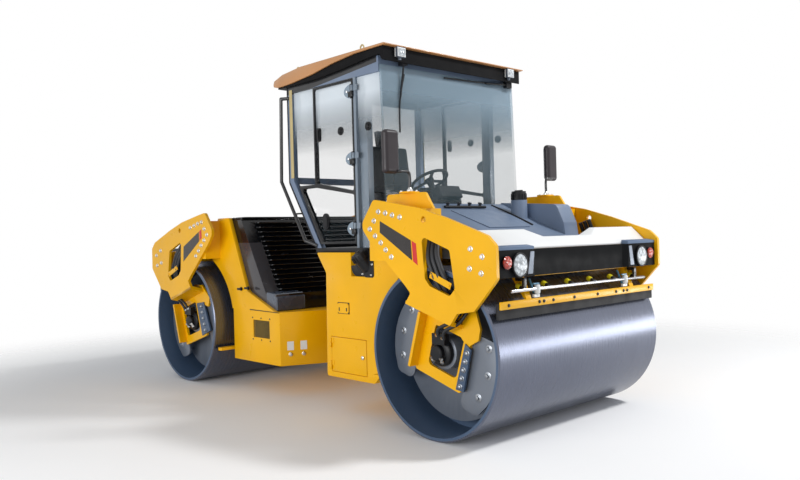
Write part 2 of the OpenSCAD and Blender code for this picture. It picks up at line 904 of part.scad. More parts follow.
module cab_floor() {
    color(BLACK)
        block([foot_x, -half_cab, body_top], [cab_front_low, half_cab, sill_z]);
}

module cab_frame() {
    color(SLATE) {
        both_sides() {
            side_slab([[foot_x, sill_z], [cab_rear, knee_z], [cab_rear, roof_z], [cab_rear + post_w, roof_z],
                [cab_rear + post_w, knee_z + 25], [foot_x + post_w + 10, sill_z]], half_cab - post_t, post_t);
            block([cab_rear, half_cab - post_t, roof_z - header_h], [front_x(roof_z) - 12, half_cab, roof_z]);
            side_slab([[300, roof_z - 1], [front_x(roof_z) - 12, roof_z - 1],
                [front_x(roof_z) - 12, roof_z + lining_rise],
                [1000, roof_z + 55], [700, roof_z + 25], [300, roof_z]], half_cab - post_t, post_t);
            block([door_x + door_gap, half_cab - post_t, sill_z],
                [door_x + door_gap + 30, half_cab, roof_z - header_h + 1]);
            block([door_x + door_gap + 29, half_cab - 100, sill_z],
                [door_x + 130, half_cab - post_t + 12, roof_z - header_h + 1]);
            for (z = hinge_places)
                door_hinge(z + knuckle_h / 2 + 0.15, 1);
        }
        block([cab_rear, post_t - half_cab - 1, roof_z - header_h],
            [cab_rear + post_t, half_cab - post_t + 1, roof_z]);
        side_slab([[front_x(roof_z) - 62, roof_z - header_h], [front_x(roof_z) - 12, roof_z - header_h],
            [front_x(roof_z) - 12, roof_z + lining_rise], [front_x(roof_z) - 62, roof_z + lining_rise - 6]],
            post_t - half_cab - 1, 2 * (half_cab - post_t + 1));
        block([cab_rear, post_t - half_cab - 1, knee_z],
            [cab_rear + post_t, half_cab - post_t + 1, knee_z + 60]);
    }
}

roof_front = 1302;
roof_rear = -300;
roof_half = half_cab + roof_eave;
lining_half = roof_half - 12;
lining_rise = 70;
lip_x = 1262;

// Edge between the black lining and the shell of the roof, from front to rear
shell_edge = [[900, roof_z + 128], [600, roof_z + 98], [300, roof_z + 52], [0, roof_z + 24],
    [-150, roof_z + 16]];

module roof_visor() {
    color(BLACK)
        side_slab(concat([[roof_rear + 60, roof_z + 15], [roof_rear + 60, roof_z], [300, roof_z],
            [700, roof_z + 25],
            [1000, roof_z + 55], [front_x(roof_z) - 12, roof_z + lining_rise], [1215, roof_z + lining_rise],
            [lip_x - 14, roof_z + 17], [lip_x, roof_z + 17], [lip_x, roof_z + 134]], shell_edge),
            -lining_half, 2 * lining_half);
}

module cab_roof() {
    color("#b98a4a")
        intersection() {
            side_slab(concat([[roof_rear + 60, roof_z + 15], [roof_rear + 4, roof_z + 30],
                [roof_rear, roof_z + 55],
                [roof_rear + 15, roof_z + 85], [-150, roof_z + 125], [200, roof_z + 158], [600, roof_z + 176],
                [1000, roof_z + 178], [1250, roof_z + 160], [roof_front, roof_z + 146],
                    [roof_front, roof_z + 138],
                [lip_x, roof_z + 134]], shell_edge), -roof_half, 2 * roof_half);
            cross_slab([[-roof_half, roof_z], [roof_half, roof_z], [roof_half, roof_z + 152],
                [roof_half - 205, roof_z + 170],
                [0, roof_z + 180], [205 - roof_half, roof_z + 170], [-roof_half, roof_z + 152]],
                roof_rear - 1, roof_front - roof_rear + 2);
        }
}

module front_glass() {
    color(GLASS)
        side_slab([[front_x(sill_z) - pane_t, sill_z], [front_x(sill_z), sill_z], [front_x(roof_z), roof_z],
            [front_x(roof_z) - pane_t, roof_z]], -half_cab, cab_w);
}

glass_low = sill_z;
pane_seam = 0.3;

// Fixed panes: ahead of the doors and behind them above the divider
module side_glass() {
    color(GLASS)
        both_sides() {
            side_slab([[door_x + 36, glass_low], [front_x(glass_low) - pane_t - pane_seam, glass_low],
                [front_x(door_top + 5) - pane_t - pane_seam, door_top + 5],
                    [door_x + 36, door_top + 5]], half_cab - 30, pane_t);
            side_slab([[cab_rear + post_w, knee_z + 30], [split_x - 6, knee_z - 20],
                [split_x - 6, door_top + 5],
                [cab_rear + post_w, door_top + 5]], half_cab - 30, pane_t);
        }
}

module rear_glass() {
    color(GLASS) {
        block([cab_rear + 12, post_t - half_cab, knee_z + 60],
            [cab_rear + 12 + pane_t, half_cab - post_t, roof_z - header_h]);
        side_slab([[foot_x + 30, sill_z], [foot_x + 40, sill_z], [cab_rear + 40, knee_z],
            [cab_rear + 30, knee_z]],
            post_t - half_cab, cab_w - 2 * post_t);
    }
}

door_t = 40;
door_rail = 20;
door_gap = 5;
hinge_x = door_x + door_gap / 2;
hinge_y = half_cab + 14;
hinge_places = [sill_z + 165, sill_z + 767, roof_z - 174];
knuckle_d = 22;
knuckle_h = 50;

// Half of a door hinge at height z: knuckle and leaf, on the post (s = 1) or on the door (s = -1)
module door_hinge(z, s) {
    translate([hinge_x, hinge_y, z - knuckle_h / 2])
        cylinder(d = knuckle_d, h = knuckle_h);
    block([min(hinge_x + s * 60, hinge_x + s * 3), half_cab - 1, z - knuckle_h / 2],
        [max(hinge_x + s * 60, hinge_x + s * 3), half_cab + 8, z + knuckle_h / 2]);
}

// Outline of a door, which reaches back to the slanted post below the divider
door_outline = [[door_x, door_low], [door_x, door_top], [split_x, door_top], [split_x, knee_z - 30],
    [rear_x(knee_z - 60) + post_w + 40, knee_z - 30], [rear_x(door_low) + post_w + 20, door_low]];

module door() {
    for (z = hinge_places)
        door_hinge(z - knuckle_h / 2 - 0.15, -1);
    difference() {
        side_slab(door_outline, half_cab - door_t, door_t);
        side_slab(rounded([[door_x - door_rail, divider_front_z + 15, 20],
            [door_x - door_rail, door_top - door_rail, 20],
            [split_x + door_rail, door_top - door_rail, 20],
                [split_x + door_rail, knee_z - 20, 20]]), half_cab - door_t - 1, door_t + 2);
        side_slab(rounded([[door_x - door_rail, door_low + door_rail, 20],
            [door_x - door_rail, divider_front_z - 15, 20],
            [split_x + 10, knee_z - 60, 20], [rear_x(knee_z - 60) + post_w + 90, knee_z - 60, 20],
            [rear_x(door_low) + post_w + 60, door_low + door_rail, 20]]), half_cab - door_t - 1, door_t + 2);
    }
}

module door_panes() {
    intersection() {
        side_slab(door_outline, half_cab - 25, pane_t);
        union() {
            side_slab(rounded([[door_x - door_rail, divider_front_z + 15, 20],
                [door_x - door_rail, door_top - door_rail, 20],
                [split_x + door_rail, door_top - door_rail, 20],
                    [split_x + door_rail, knee_z - 20, 20]]), half_cab - door_t - 1, door_t + 2);
            side_slab(rounded([[door_x - door_rail, door_low + door_rail, 20],
                [door_x - door_rail, divider_front_z - 15, 20],
                [split_x + 10, knee_z - 60, 20], [rear_x(knee_z - 60) + post_w + 90, knee_z - 60, 20],
                [rear_x(door_low) + post_w + 60, door_low + door_rail, 20]]),
                    half_cab - door_t - 1, door_t + 2);
        }
    }
}

module door_r() {
    color(BLACK) on_side(-1) door();
}

module door_l() {
    color(BLACK) on_side(1) door();
}

module door_r_glass() {
    color(GLASS) on_side(-1) door_panes();
}

module door_l_glass() {
    color(GLASS) on_side(1) door_panes();
}

seat_x = 330;
seat_half = 250;
seat_h = 420;
cushion_t = 120;
back_h = 600;

// Suspension base, cushion and raked back of the driver's seat
module seat() {
    color(BLACK) {
        side_slab([[seat_x + 60, sill_z], [seat_x + 400, sill_z],
            [seat_x + 360, sill_z + seat_h - cushion_t + 1],
            [seat_x + 100, sill_z + seat_h - cushion_t + 1]], -180, 360);
        side_slab(rounded([[seat_x + 20, sill_z + seat_h - cushion_t, 30],
            [seat_x + 480, sill_z + seat_h - cushion_t, 40],
            [seat_x + 480, sill_z + seat_h, 50],
                [seat_x + 20, sill_z + seat_h - 20, 30]]), -seat_half, 2 * seat_half);
        side_slab(rounded([[seat_x, sill_z + seat_h - 40, 30], [seat_x + 120, sill_z + seat_h - 40, 30],
            [seat_x + 40, sill_z + seat_h + back_h, 40],
                [seat_x - 60, sill_z + seat_h + back_h, 40]]), 10 - seat_half, 2 * seat_half - 20);
    }
}

console_x = 980;
console_h = 420;
column_h = 280;
wheel_r = 175;
wheel_t = 28;

// Dash post with its raked column and steering wheel
module console() {
    color(GREY) {
        side_slab(rounded([[console_x + 30, sill_z, 0], [console_x + 150, sill_z, 0],
            [console_x + 150, sill_z + console_h, 20],
            [console_x + 70, sill_z + console_h, 40], [console_x, sill_z + console_h - 90, 40]]), -160, 320);
        translate([console_x + 35, 0, sill_z + console_h - 60])
            rotate([0, -30, 0]) {
                cylinder(d = 60, h = column_h);
                translate([0, 0, column_h - 10])
                    rotate_extrude()
                        translate([wheel_r, 0]) circle(d = wheel_t, $fn = 24);
                translate([0, 0, column_h - 18]) cylinder(d = 90, h = 24);
                for (a = [90, 210, 330])
                    rotate([0, 0, a])
                        translate([0, -wheel_t / 2, column_h - 16]) cube([wheel_r - 3, wheel_t, 14]);
            }
    }
}

mirror_x = 1489;
mirror_y = plate_in - 25;
mirror_z = fork_top + 454;
mirror_h = 344;
arm_z = mirror_z - 168;
arm_d = 24;

module mirrors() {
    color(BLACK)
        both_sides() {
            side_slab(rounded([[mirror_x - 35, mirror_z - mirror_h / 2, 20],
                [mirror_x + 35, mirror_z - mirror_h / 2, 30],
                [mirror_x + 35, mirror_z + mirror_h / 2, 30],
                    [mirror_x - 35, mirror_z + mirror_h / 2, 20]]), mirror_y - 75, 150);
            translate([mirror_x + 54, wall_y + 27, fork_top + wall_h + base_t])
                cylinder(d = arm_d, h = arm_z - fork_top - wall_h - base_t + 4);
            block([mirror_x + 42, wall_y + 15, arm_z], [mirror_x + 66, mirror_y - 40, arm_z + arm_d]);
            block([mirror_x + 30, mirror_y - 64, arm_z], [mirror_x + 66, mirror_y - 40, arm_z + arm_d]);
        }
}

rail_d = 32;
rail_y = half_cab + 45;
rail_top = roof_z - 103;
rail_low = sill_z + 69;
rail_path = [[cab_rear + 30, half_cab, rail_top], [cab_rear - 35, rail_y, rail_top],
    [cab_rear - 63, rail_y, knee_z + 24],
    [rear_x(rail_low) - 52, rail_y, rail_low], [foot_x + 23, half_cab, sill_z + 22]];

// Round bar from a to b
module bar(a, b, d) {
    translate(a)
        rotate([0, acos((b - a)[2] / norm(b - a)), atan2((b - a)[1], (b - a)[0])])
            cylinder(d = d, h = norm(b - a));
}

module grab_rails() {
    color(BLACK)
        both_sides()
            difference() {
                union() {
                    for (i = [0:len(rail_path) - 2])
                        bar(rail_path[i], rail_path[i + 1], rail_d);
                    for (i = [1:len(rail_path) - 2])
                        translate(rail_path[i]) sphere(d = rail_d + 1);
                }
                block([cab_rear - 200, half_cab - 60, sill_z - 40], [foot_x + 200, half_cab, roof_z]);
            }
}

work_y = half_cab - 153;

module work_lamps() {
    color("#e8eef2")
        both_sides() {
            block([lip_x, work_y - 45, roof_z + 55], [lip_x + 42, work_y + 45, roof_z + 130]);
            block([cab_rear - 35, work_y - 45, roof_z - header_h + 5], [cab_rear, work_y + 45, roof_z - 5]);
        }
}

front_body();
front_plate_r();
front_plate_l();
front_beam();
front_fascia();
front_lamps();
beam_cover();
water_tank();
filler_caps();
front_scraper();
front_blades();
front_spray_bar();
front_carriers();
cab_floor();
cab_frame();
cab_roof();
roof_visor();
front_glass();
side_glass();
rear_glass();
seat();
console();
mirrors();
grab_rails();
work_lamps();
hatch();
door_r();
door_r_glass();
door_l();
door_l_glass();
centre_link();
ram_barrel_r();
ram_rod_r();
ram_barrel_l();
ram_rod_l();
rear_body();
rear_plate_r();
rear_plate_l();
rear_beam();
rear_fascia();
rear_lamps();
rear_tank();
engine();
engine_cover();
hood_lid();
rear_scraper();
rear_blades();
rear_spray_bar();
rear_carriers();
front_drum();
rear_drum();
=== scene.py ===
"""Looks of the tandem road roller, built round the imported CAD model."""
import math
from itertools import product

import bmesh
import bpy
from mathutils import Matrix, Vector


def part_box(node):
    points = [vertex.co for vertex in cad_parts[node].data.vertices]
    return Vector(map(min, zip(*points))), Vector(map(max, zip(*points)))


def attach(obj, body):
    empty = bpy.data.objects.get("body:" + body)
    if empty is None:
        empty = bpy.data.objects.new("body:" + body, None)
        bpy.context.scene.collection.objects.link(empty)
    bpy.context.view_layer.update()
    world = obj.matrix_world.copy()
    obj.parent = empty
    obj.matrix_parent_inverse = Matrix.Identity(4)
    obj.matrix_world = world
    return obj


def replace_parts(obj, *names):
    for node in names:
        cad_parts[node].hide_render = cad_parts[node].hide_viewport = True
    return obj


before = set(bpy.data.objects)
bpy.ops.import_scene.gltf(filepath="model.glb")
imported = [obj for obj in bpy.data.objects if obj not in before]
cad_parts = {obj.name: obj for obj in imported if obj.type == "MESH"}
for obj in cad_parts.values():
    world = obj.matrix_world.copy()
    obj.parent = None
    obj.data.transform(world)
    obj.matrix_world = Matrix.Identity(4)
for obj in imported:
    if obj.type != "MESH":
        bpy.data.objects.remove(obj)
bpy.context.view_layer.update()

# Ends, sides and directions of the machine
FRONT, REAR = 1, -1
LEFT, RIGHT = 1, -1
BODY_OF = {FRONT: "front_frame", REAR: "rear_frame"}
END_NAME = {FRONT: "front", REAR: "rear"}
SIDE_NAME = {LEFT: "l", RIGHT: "r"}
AHEAD = (1, 0, 0)
OUT = (0, 1, 0)
UP = (0, 0, 1)

# Places taken from the CAD model, in metres
drum_low, drum_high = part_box("front_drum")
AXLE_X = (drum_low[0] + drum_high[0]) / 2
AXLE_Z = (drum_low[2] + drum_high[2]) / 2
DRUM_R = (drum_high[2] - drum_low[2]) / 2
DRUM_HALF = drum_high[1]
FORK_HALF = DRUM_HALF + 0.0075
PLATE_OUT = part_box("front_plate_l")[1][1]
HATCH_LOW, HATCH_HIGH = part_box("hatch")
BODY_HALF = -HATCH_HIGH[1] + 0.0185
BEAM_LOW, BEAM_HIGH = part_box("front_beam")
SCRAPER_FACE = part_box("front_scraper")[1][0]
SPRAY_X = SCRAPER_FACE - 0.016
SPRAY_Z = BEAM_LOW[2] - 0.089
SPRAY_R = 0.0135
GLASS_FRONT, CAB_HALF, ROOF_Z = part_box("front_glass")[1]
SILL_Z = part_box("front_glass")[0][2]
HEADER_Z = ROOF_Z - 0.062
DOOR_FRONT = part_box("door_l_glass")[1][0] + 0.018
PANE_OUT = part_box("door_l_glass")[1][1]
# Heights over which the cab panes fade into their painted reflection
REFLECTION_FROM = ROOF_Z - 0.65
REFLECTION_FULL = ROOF_Z - 0.20
WEDGE_X = 0.25
WEDGE_RISE = 0.062 / 0.70
SLAT_HALF = BODY_HALF - 0.200
# Height below which the engine cover's sides carry their painted sheen
SIDE_SHEEN_TOP = 1.50
LEG_LEAN = math.radians(17)


# Materials

def srgb(red, green, blue):
    """Linear colour of 0-255 display values."""
    def linear(value):
        value /= 255
        return value / 12.92 if value <= 0.04045 else ((value + 0.055) / 1.055) ** 2.4
    return (linear(red), linear(green), linear(blue), 1.0)


class Nodes:
    """Short hand for building one material's node tree."""

    def __init__(self, name):
        self.material = bpy.data.materials.new(name)
        self.material.use_nodes = True
        self.tree = self.material.node_tree
        self.shader = self.tree.nodes["Principled BSDF"]
        self.out = self.tree.nodes["Material Output"]
        self.place = self.add("ShaderNodeTexCoord").outputs["Object"]

    def add(self, kind, **values):
        node = self.tree.nodes.new(kind)
        for key, value in values.items():
            setattr(node, key, value)
        return node

    def link(self, source, target):
        self.tree.links.new(source, target)

    def set(self, **values):
        """Puts numbers on the shader's sockets."""
        for key, value in values.items():
            self.shader.inputs[key.replace("_", " ")].default_value = value

    def feed(self, **sources):
        """Links sources to the shader's sockets."""
        for key, source in sources.items():
            self.link(source, self.shader.inputs[key.replace("_", " ")])

    def colour(self):
        """What feeds the shader's colour so far."""
        return self.shader.inputs["Base Color"].links[0].from_socket

    def noise(self, scale, detail=3.0, stretch=(1, 1, 1)):
        mapping = self.add("ShaderNodeMapping")
        mapping.inputs["Scale"].default_value = stretch
        self.link(self.place, mapping.inputs["Vector"])
        node = self.add("ShaderNodeTexNoise")
        node.inputs["Scale"].default_value = scale
        node.inputs["Detail"].default_value = detail
        self.link(mapping.outputs["Vector"], node.inputs["Vector"])
        return node.outputs["Fac"]

    def cells(self, scale):
        node = self.add("ShaderNodeTexVoronoi")
        node.inputs["Scale"].default_value = scale
        self.link(self.place, node.inputs["Vector"])
        return node.outputs["Distance"]

    def ranged(self, value, low, high, start=0.3, end=0.7, **values):
        node = self.add("ShaderNodeMapRange", **values)
        node.inputs["From Min"].default_value = start
        node.inputs["From Max"].default_value = end
        node.inputs["To Min"].default_value = low
        node.inputs["To Max"].default_value = high
        self.link(value, node.inputs["Value"])
        return node.outputs["Result"]

    def mixed(self, factor, first, second):
        node = self.add("ShaderNodeMix", data_type="RGBA")
        self.link(factor, node.inputs["Factor"])
        for socket, value in ((node.inputs["A"], first), (node.inputs["B"], second)):
            if isinstance(value, tuple):
                socket.default_value = value
            else:
                self.link(value, socket)
        return node.outputs["Result"]

    def math(self, operation, first, second=None):
        node = self.add("ShaderNodeMath", operation=operation)
        for socket, value in zip(node.inputs, (first, second)):
            if value is None:
                continue
            if isinstance(value, (int, float)):
                socket.default_value = value
            else:
                self.link(value, socket)
        return node.outputs["Value"]

    def distance(self, first, second):
        """Length over two coordinates at right angles."""
        squares = [self.math("MULTIPLY", value, value) for value in (first, second)]
        return self.math("SQRT", self.math("ADD", *squares))

    def from_axle(self, x, z):
        """Distance from a crosswise axis that both ends of the machine have."""
        px, _, pz = self.axes()
        across = self.math("SUBTRACT", self.math("ABSOLUTE", px), x)
        return self.distance(across, self.math("SUBTRACT", pz, z))

    def axes(self):
        node = self.add("ShaderNodeSeparateXYZ")
        self.link(self.place, node.inputs["Vector"])
        return node.outputs["X"], node.outputs["Y"], node.outputs["Z"]

    def bump(self, height, strength, distance):
        node = self.add("ShaderNodeBump")
        node.inputs["Strength"].default_value = strength
        node.inputs["Distance"].default_value = distance
        self.link(height, node.inputs["Height"])
        self.feed(Normal=node.outputs["Normal"])


COAT_ROUGH = 0.12
BROAD_SCALE = 2.2
GLOSS_SCALE = 9.0
GRAIN_STRENGTH = 0.35


def shade(colour, factor):
    return tuple(min(1.0, channel * factor) for channel in colour[:3]) + (1.0,)


def finish(name, colour, rough, metal=0.0, vary=0.1, grain=260.0, depth=0.0004, coat=0.0,
           rough_step=0.08, shine=0.5):
    """Material with broad colour change, uneven gloss and a fine grain."""
    nodes = Nodes(name)
    nodes.set(Metallic=metal, Coat_Weight=coat, Coat_Roughness=COAT_ROUGH, Specular_IOR_Level=shine)
    broad = nodes.ranged(nodes.noise(BROAD_SCALE, 4.0), 0.0, 1.0)
    gloss = nodes.ranged(nodes.noise(GLOSS_SCALE, 5.0), rough - rough_step, rough + rough_step)
    nodes.feed(Base_Color=nodes.mixed(broad, shade(colour, 1 - vary), shade(colour, 1 + vary / 2)),
               Roughness=gloss)
    nodes.bump(nodes.noise(grain, 2.0), GRAIN_STRENGTH, depth)
    return nodes


def plain(*args, **values):
    return finish(*args, **values).material


YELLOW = srgb(242, 180, 4)
SLATE = srgb(108, 124, 148)
# paler slate on the cab posts ahead of the doors, a painted reflection
REFLECTION_SLATE = srgb(120, 133, 146)
INNER = srgb(64, 84, 110)
STEEL = srgb(108, 113, 129)
BRIGHT = srgb(206, 208, 214)
NEAR_BLACK = srgb(24, 25, 28)
# grey on the engine cover's sides, a painted sheen of grazing light
SIDE_SHEEN_GREY = srgb(64, 62, 65)

paint = plain("yellow_paint", YELLOW, 0.34, vary=0.07, grain=420.0, depth=0.0002, coat=0.12, shine=0.25)
slate_plastic = plain("tank_plastic", SLATE, 0.48, vary=0.12, grain=700.0, depth=0.0006)
slate_paint = plain("slate_paint", INNER, 0.40, metal=0.2, vary=0.15, grain=300.0, depth=0.0003, coat=0.2)
black_plastic = plain("black_plastic", srgb(22, 23, 26), 0.40, vary=0.2, grain=800.0, shine=0.25)
visor_black = plain("visor_black", srgb(10, 10, 12), 0.6, vary=0.2, grain=600.0, depth=0.0003, shine=0.1)
black_gloss = plain("black_gloss", srgb(16, 17, 20), 0.18, vary=0.2, grain=300.0, depth=0.0001, coat=0.15,
                    shine=0.3)
rubber = plain("rubber", srgb(20, 20, 22), 0.75, vary=0.25, grain=180.0, depth=0.0010)
hose_rubber = plain("hose_rubber", srgb(24, 25, 29), 0.5, vary=0.2, grain=500.0, depth=0.0005)
# light grey beam cover; its near-white colour is partly painted reflection of its bright top
pale_glare_cover = plain("pale_cover", srgb(234, 235, 235), 0.40, vary=0.04, grain=500.0, depth=0.0003, shine=0.3)
grey_steel = plain("grey_steel", srgb(112, 120, 132), 0.42, metal=0.5, vary=0.15, depth=0.0003)
carrier_grey = plain("carrier_grey", srgb(112, 119, 130), 0.38, metal=0.25, vary=0.12, grain=300.0,
                     depth=0.0003, coat=0.2)
clear_hinge = plain("clear_hinge", srgb(128, 146, 162), 0.15, grain=300.0, depth=0.0001, coat=0.6)
dark_steel = plain("dark_steel", srgb(44, 48, 56), 0.45, metal=0.4, vary=0.2)
dull_zinc = plain("dull_zinc", srgb(160, 165, 172), 0.34, metal=0.9, vary=0.15, grain=600.0, depth=0.0001)
zinc = plain("zinc_bolt", srgb(214, 214, 212), 0.26, metal=1.0, vary=0.12, grain=600.0, depth=0.0001)
chrome = plain("chrome", srgb(225, 228, 232), 0.12, metal=1.0, vary=0.05, grain=300.0, depth=0.0001,
               rough_step=0.05)
roof_tan = plain("roof_shell", srgb(194, 138, 86), 0.36, grain=500.0, depth=0.0003, coat=0.3)
black_tube = plain("black_tube", srgb(22, 22, 25), 0.34, metal=0.1, vary=0.2, grain=500.0, depth=0.0002,
                   coat=0.3)
cap_yellow = plain("cap_yellow", srgb(232, 220, 40), 0.35, vary=0.08, grain=500.0, depth=0.0002)
valve_blue = plain("valve_blue", srgb(70, 130, 160), 0.4, grain=500.0, depth=0.0002)
white_plastic = plain("white_plastic", srgb(228, 230, 230), 0.4, vary=0.06, grain=600.0, depth=0.0003)
nose_slate = plain("nose_slate", srgb(66, 76, 92), 0.25, vary=0.2, grain=300.0, depth=0.0002, coat=0.5)
bronze = plain("bronze_mesh", srgb(132, 112, 62), 0.5, metal=0.5, vary=0.3, grain=900.0, depth=0.0003)
stripe_black = plain("stripe_black", srgb(34, 28, 26), 0.3, grain=600.0, depth=0.0001)
stripe_red = plain("stripe_red", srgb(205, 34, 34), 0.3, vary=0.08, grain=600.0, depth=0.0001)
strip_beige = plain("strip_beige", srgb(196, 178, 128), 0.5, grain=500.0, depth=0.0002)
mirror_brown = plain("mirror_brown", srgb(46, 40, 44), 0.38, vary=0.15, grain=700.0, shine=0.35)
mirror_face = plain("mirror_face", srgb(235, 238, 240), 0.04, metal=1.0, vary=0.02, grain=20.0, depth=0.00002,
                    rough_step=0.02)

SKIN_DEPTH = 0.012
RING_STRETCH = (0.02, 8.0, 0.02)
FACE_METAL = 0.78
FACE_ROUGH = 0.24
PAINT_ROUGH = 0.42


def drum_material():
    """Ground steel on the rolling face, slate paint inside."""
    nodes = finish("drum_steel", STEEL, 0.26, metal=1.0, vary=0.08, grain=300.0, depth=0.0001,
                   rough_step=0.06)
    outside = nodes.math("GREATER_THAN", nodes.from_axle(AXLE_X, AXLE_Z), DRUM_R - SKIN_DEPTH)
    rings = nodes.noise(60.0, 3.0, RING_STRETCH)
    ground = nodes.mixed(nodes.ranged(rings, 0.0, 0.35), nodes.colour(), shade(STEEL, 0.72))
    painted = nodes.mixed(nodes.noise(3.0, 4.0), shade(INNER, 0.85), shade(INNER, 1.15))
    rough = nodes.ranged(outside, PAINT_ROUGH, FACE_ROUGH, 0.0, 1.0)
    nodes.feed(Base_Color=nodes.mixed(outside, painted, ground),
               Metallic=nodes.math("MULTIPLY", outside, FACE_METAL),
               Roughness=nodes.math("ADD", rough, nodes.math("MULTIPLY", rings, 0.06)))
    return nodes.material


def fascia_material():
    """Black moulding whose upper edge is painted slate as a painted sheen from above."""
    nodes = finish("fascia_skin", srgb(13, 14, 16), 0.62, vary=0.12, grain=500.0, depth=0.0003, shine=0.08)
    # painted sheen: the top of the black moulding is slate where it catches light from above
    above = nodes.math("GREATER_THAN", nodes.axes()[2], BEAM_HIGH[2] + 0.002)
    nodes.feed(Base_Color=nodes.mixed(above, nodes.colour(), SLATE))
    return nodes.material


def spray_material():
    """Bright tube with black fittings round it."""
    nodes = finish("spray_tube", BRIGHT, 0.25, vary=0.08, grain=400.0, depth=0.0001)
    fitting = nodes.math("GREATER_THAN", nodes.from_axle(SPRAY_X, SPRAY_Z), SPRAY_R)
    nodes.feed(Base_Color=nodes.mixed(fitting, nodes.colour(), NEAR_BLACK),
               Metallic=nodes.ranged(fitting, 1.0, 0.0, 0.0, 1.0))
    return nodes.material


def glass_material(name, colour, reflection_colour, alpha, reflection_alpha):
    """Tinted pane with a slight unevenness and a painted reflection that fades in below the roof, turning the
    pane paler and more opaque.
    """
    nodes = finish(name, colour, 0.05, vary=0.05, grain=4.0, depth=0.00005, rough_step=0.02, shine=0.6)
    nodes.set(IOR=1.5)
    height = nodes.axes()[2]
    # painted reflection: paler colour and less see-through towards the roof
    painted_reflection = nodes.ranged(height, 0.0, 1.0, REFLECTION_FROM, REFLECTION_FULL)
    nodes.feed(Base_Color=nodes.mixed(painted_reflection, nodes.colour(), reflection_colour),
               Alpha=nodes.ranged(height, alpha, reflection_alpha, REFLECTION_FROM, REFLECTION_FULL))
    return nodes.material


def cab_material():
    """Slate posts with a black header that tapers out towards the front; ahead of the doors the posts are
    painted paler as painted reflection.
    """
    nodes = finish("cab_paint", SLATE, 0.36, metal=0.1, vary=0.15, grain=300.0, depth=0.0003, coat=0.3)
    x, _, z = nodes.axes()
    below = nodes.math("LESS_THAN", z, HEADER_Z)
    ahead = nodes.math("MULTIPLY", nodes.math("GREATER_THAN", x, DOOR_FRONT), below)
    rise = nodes.math("MULTIPLY", nodes.math("SUBTRACT", x, WEDGE_X), WEDGE_RISE)
    wedge = nodes.math("ADD", rise, HEADER_Z)
    above = nodes.math("GREATER_THAN", z, nodes.math("MAXIMUM", wedge, HEADER_Z - 0.01))
    black = nodes.math("MULTIPLY", above, nodes.math("LESS_THAN", x, GLASS_FRONT - 0.08))
    # painted reflection: the posts ahead of the doors are paler, like the glass beside them
    posts = nodes.mixed(ahead, nodes.colour(), REFLECTION_SLATE)
    nodes.feed(Base_Color=nodes.mixed(black, posts, NEAR_BLACK))
    return nodes.material


def cover_material():
    """Black louvres between glossy side panels, painted grey below their top as painted sheen of grazing
    light.
    """
    nodes = finish("cover_skin", srgb(16, 17, 20), 0.20, vary=0.25, depth=0.0002, coat=0.2, shine=0.35)
    _, y, z = nodes.axes()
    # painted sheen: the cover's sides are grey where grazing light falls on them
    beside = nodes.math("GREATER_THAN", nodes.math("ABSOLUTE", y), SLAT_HALF + 0.004)
    panel = nodes.math("MULTIPLY", beside, nodes.math("LESS_THAN", z, SIDE_SHEEN_TOP))
    nodes.feed(Base_Color=nodes.mixed(panel, nodes.colour(), SIDE_SHEEN_GREY))
    return nodes.material


def lens_material(name, colour, rough=0.12):
    """Moulded lamp lens with fine prisms."""
    nodes = finish(name, colour, rough, grain=100.0, depth=0.0002, coat=0.5)
    prisms = nodes.cells(42.0)
    edge = nodes.ranged(prisms, 0.0, 1.0, 0.25, 0.75)
    nodes.feed(Base_Color=nodes.mixed(edge, nodes.colour(), shade(colour, 0.45)))
    nodes.bump(prisms, 0.9, 0.008)
    return nodes.material


def vinyl_material():
    """Embossed seat cover."""
    nodes = finish("seat_vinyl", srgb(34, 34, 37), 0.55, vary=0.25, grain=60.0, depth=0.0006)
    nodes.bump(nodes.cells(240.0), 0.5, 0.001)
    return nodes.material


drum_steel = drum_material()
cover_skin = cover_material()
fascia_skin = fascia_material()
spray_skin = spray_material()
# Each pane: its tint and see-through share, then the paler painted reflection towards the roof
front_pane = glass_material("front_pane", srgb(92, 112, 120), srgb(146, 170, 186), 0.20, 0.50)
side_pane = glass_material("side_pane", srgb(52, 70, 78), srgb(232, 241, 248), 0.04, 0.84)
rear_pane = glass_material("rear_pane", srgb(44, 58, 64), srgb(120, 144, 158), 0.06, 0.30)
cab_skin = cab_material()
lens_white = lens_material("lens_white", srgb(222, 230, 236), 0.08)
lens_amber = lens_material("lens_amber", srgb(206, 52, 20))
lens_red = lens_material("lens_red", srgb(196, 26, 24))
vinyl = vinyl_material()

# What the CAD nodes of both ends, of both sides and of the rest are finished in
END_SKIN = {
    "body": paint, "plate_r": paint, "plate_l": paint, "beam": paint, "scraper": paint,
    "fascia": fascia_skin, "lamps": black_gloss, "blades": rubber, "spray_bar": spray_skin,
    "carriers": carrier_grey, "drum": drum_steel,
}
NODE_SKIN = {
    "hatch": paint, "beam_cover": pale_glare_cover, "water_tank": slate_plastic, "rear_tank": slate_plastic,
    "filler_caps": black_plastic, "cab_floor": black_plastic, "cab_frame": cab_skin, "cab_roof": roof_tan,
    "roof_visor": visor_black, "front_glass": front_pane, "side_glass": side_pane, "rear_glass": rear_pane,
    "seat": vinyl, "console": black_plastic, "mirrors": black_plastic, "grab_rails": black_tube,
    "work_lamps": white_plastic, "centre_link": dark_steel, "engine": dark_steel, "engine_cover": cover_skin,
    "hood_lid": black_gloss,
}
for end_name, (part, skin) in product(END_NAME.values(), END_SKIN.items()):
    NODE_SKIN[f"{end_name}_{part}"] = skin
for side_name in SIDE_NAME.values():
    NODE_SKIN[f"door_{side_name}"] = black_gloss
    NODE_SKIN[f"door_{side_name}_glass"] = side_pane
    NODE_SKIN[f"ram_barrel_{side_name}"] = black_tube
    NODE_SKIN[f"ram_rod_{side_name}"] = chrome
EDGE = 0.004
